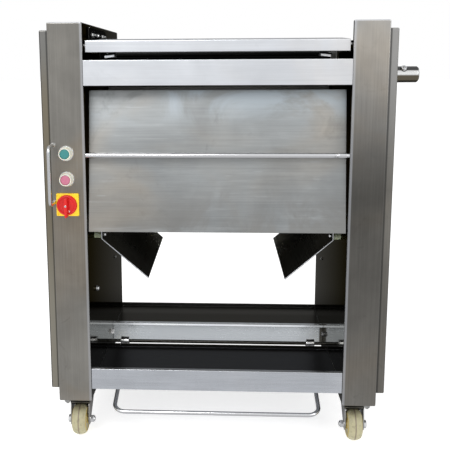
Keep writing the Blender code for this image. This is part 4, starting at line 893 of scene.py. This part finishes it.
# ------------------------------------------------------------------ gear motor dress
lo, hi = box("gear_motor")
mc = (0, 0.462, 0.690)
pts = []
for k in range(28):
    for f, r in ((0.0, 0.0415), (0.18, 0.0475), (0.40, 0.0475), (0.58, 0.0415)):
        a = math.tau * (k + f) / 28
        pts.append((mc[1] + r * math.cos(a), mc[2] + r * math.sin(a)))
piece("motor_finned_body", prism(pts, "X", 0.052, 0.1500), "grey_paint", "frame", ["gear_motor"], smooth=30, bevel=0.0003, segs=1)
fan = fillet([(0, 0.020), (0.014, 0.020), (0.038, 0.020), (0.0455, 0.0265), (0.0470, 0.050), (0.0470, 0.0515), (0, 0.0515)], 0.004, 5)
piece("motor_fan_cowl", turned(fan, "X", mc, 64), "grey_paint", "frame")
box = fillet([(0, 0.1502), (0.049, 0.1502), (0.0515, 0.1530), (0.0555, 0.1560), (0.056, 0.165), (0.056, 0.262), (0.0535, 0.2690), (0.062, 0.2705),
              (0.062, 0.2920), (0.0115, 0.2920), (0.0115, 0.2915), (0, 0.2915)], 0.003, 4)
piece("motor_gearcase", turned(box, "X", mc, 64), "grey_paint", "frame", smooth=35)
bm = bmesh.new()
bmesh.ops.create_cube(bm, size=1)
for v in bm.verts:
    v.co = Vector((0.102 + v.co.x * 0.070, mc[1] + v.co.y * 0.052, mc[2] + 0.055 + v.co.z * 0.022))
piece("motor_terminal_box", bm, "grey_paint", "frame", bevel=0.0035, segs=3)
screw_set("motor_flange_screw", "frame", "X", [(0.2704, mc[1] + 0.054 * math.cos(a), mc[2] + 0.054 * math.sin(a))
          for a in (math.radians(45 + 90 * k) for k in range(4))], 0.0080, 0.0045, 0.0055, -1)

# ------------------------------------------------------------------ stage, light, camera
bm = bmesh.new()
bmesh.ops.create_grid(bm, x_segments=1, y_segments=1, size=40)
me = bpy.data.meshes.new("floor")
bm.to_mesh(me)
bm.free()
floor = bpy.data.objects.new("floor", me)
scene.collection.objects.link(floor)
fm, g, p = fresh("floor_pale")
lp = g.put("ShaderNodeLightPath")
p.inputs["Base Color"].default_value = (0.86, 0.86, 0.86, 1)
p.inputs["Roughness"].default_value = 0.9
p.inputs["Specular IOR Level"].default_value = 0.1
em = g.put("ShaderNodeEmission", {"Color": (1, 1, 1, 1), "Strength": 0.66})
add = g.put("ShaderNodeAddShader", {0: p.outputs[0], 1: em.outputs[0]})
pos = g.put("ShaderNodeSeparateXYZ", {0: g.put("ShaderNodeNewGeometry").outputs["Position"]})
dark = g.put("ShaderNodeEmission", {"Color": (0.97, 0.98, 1.0, 1)})
near = g.ramp(pos.outputs[1], -0.32, 0.15, 0.58, 0.03)
aside = g.ramp(g.math("ABSOLUTE", pos.outputs[0]), 0.55, 1.05, 0.0, 0.52)
beyond = g.ramp(pos.outputs[1], 0.45, 1.10, 0.0, 0.30)
g.l.new(g.math("MAXIMUM", near, g.math("MAXIMUM", aside, beyond)), dark.inputs["Strength"])
swap = g.put("ShaderNodeMixShader", {0: lp.outputs["Is Glossy Ray"], 1: add.outputs[0], 2: dark.outputs[0]})
g.l.new(swap.outputs[0], g.n["Material Output"].inputs[0])
me.materials.append(fm)
floor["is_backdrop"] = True

world = bpy.data.worlds.new("studio")
scene.world = world
world.use_nodes = True
g = Graph(world.node_tree)
g.n.clear()
lp = g.put("ShaderNodeLightPath")
d = g.put("ShaderNodeSeparateXYZ", {0: g.put("ShaderNodeTexCoord").outputs["Generated"]})
x, y, z = d.outputs[0], d.outputs[1], d.outputs[2]
up = g.ramp(z, 0.50, 0.95)
ahead = g.math("MULTIPLY", g.ramp(y, 0.10, -0.60), g.ramp(z, 0.95, 0.35, 0.35, 1.0))   # towards the viewer
side = g.ramp(g.math("ABSOLUTE", x), 0.50, 0.95)
level = g.math("ADD", g.math("MULTIPLY", up, 0.55), g.math("MULTIPLY", ahead, 0.80))
level = g.math("ADD", level, g.math("MULTIPLY", side, 0.32))
level = g.math("ADD", level, g.ramp(y, -0.05, 0.60, 0.02, 0.26))
gloss = g.put("ShaderNodeBackground", {"Color": (0.97, 0.985, 1.0, 1)})
g.l.new(level, gloss.inputs["Strength"])
soft = g.put("ShaderNodeBackground", {"Color": (1, 1, 1, 1), "Strength": 0.62})
white = g.put("ShaderNodeBackground", {"Color": (1, 1, 1, 1), "Strength": 1.0})
a = g.put("ShaderNodeMixShader", {0: lp.outputs["Is Glossy Ray"], 1: soft.outputs[0], 2: gloss.outputs[0]})
b = g.put("ShaderNodeMixShader", {0: lp.outputs["Is Camera Ray"], 1: a.outputs[0], 2: white.outputs[0]})
out = g.put("ShaderNodeOutputWorld", {0: b.outputs[0]})

def softbox(name, at, target, size, power, colour=(1, 1, 1)):
    li = bpy.data.lights.new(name, "AREA")
    li.shape = "RECTANGLE"
    li.size, li.size_y = size
    li.energy = power
    li.color = colour
    o = bpy.data.objects.new(name, li)
    o.location = Vector(at) + OFF
    o.rotation_euler = (Vector(target) - Vector(at)).to_track_quat("-Z", "Y").to_euler()
    scene.collection.objects.link(o)
    return o
softbox("key_soft", (-1.2, -2.2, 2.9), (0, 0.2, 0.5), (2.2, 1.4), 55)
softbox("fill_soft", (2.2, -1.6, 2.0), (0, 0.2, 0.5), (1.4, 1.4), 18)

yaw, pitch, roll = 0.0552, -0.1723, 0.0053
R = Matrix.Rotation(yaw, 3, "Z") @ Matrix.Rotation(pitch, 3, "X") @ Matrix.Rotation(roll, 3, "Y")
cam_data = bpy.data.cameras.new("camera")
cam = bpy.data.objects.new("camera", cam_data)
scene.collection.objects.link(cam)
cam_data.sensor_width = 36.0
cam_data.lens = 746.44 / 450 * 36
cam_data.shift_x = (225 - 183.36) / 450
cam_data.shift_y = -(225 - 194.46) / 450
cx_, cy_, cz_ = R.col[0], R.col[2], -R.col[1]
cam.matrix_world = Matrix.Translation(Vector((0.0173, -1.6398, 0.8919)) + OFF) @ Matrix((cx_, cy_, cz_)).transposed().to_4x4()
scene.camera = cam
scene.view_settings.view_transform = "Standard"
scene.view_settings.look = "None"

lo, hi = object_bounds()
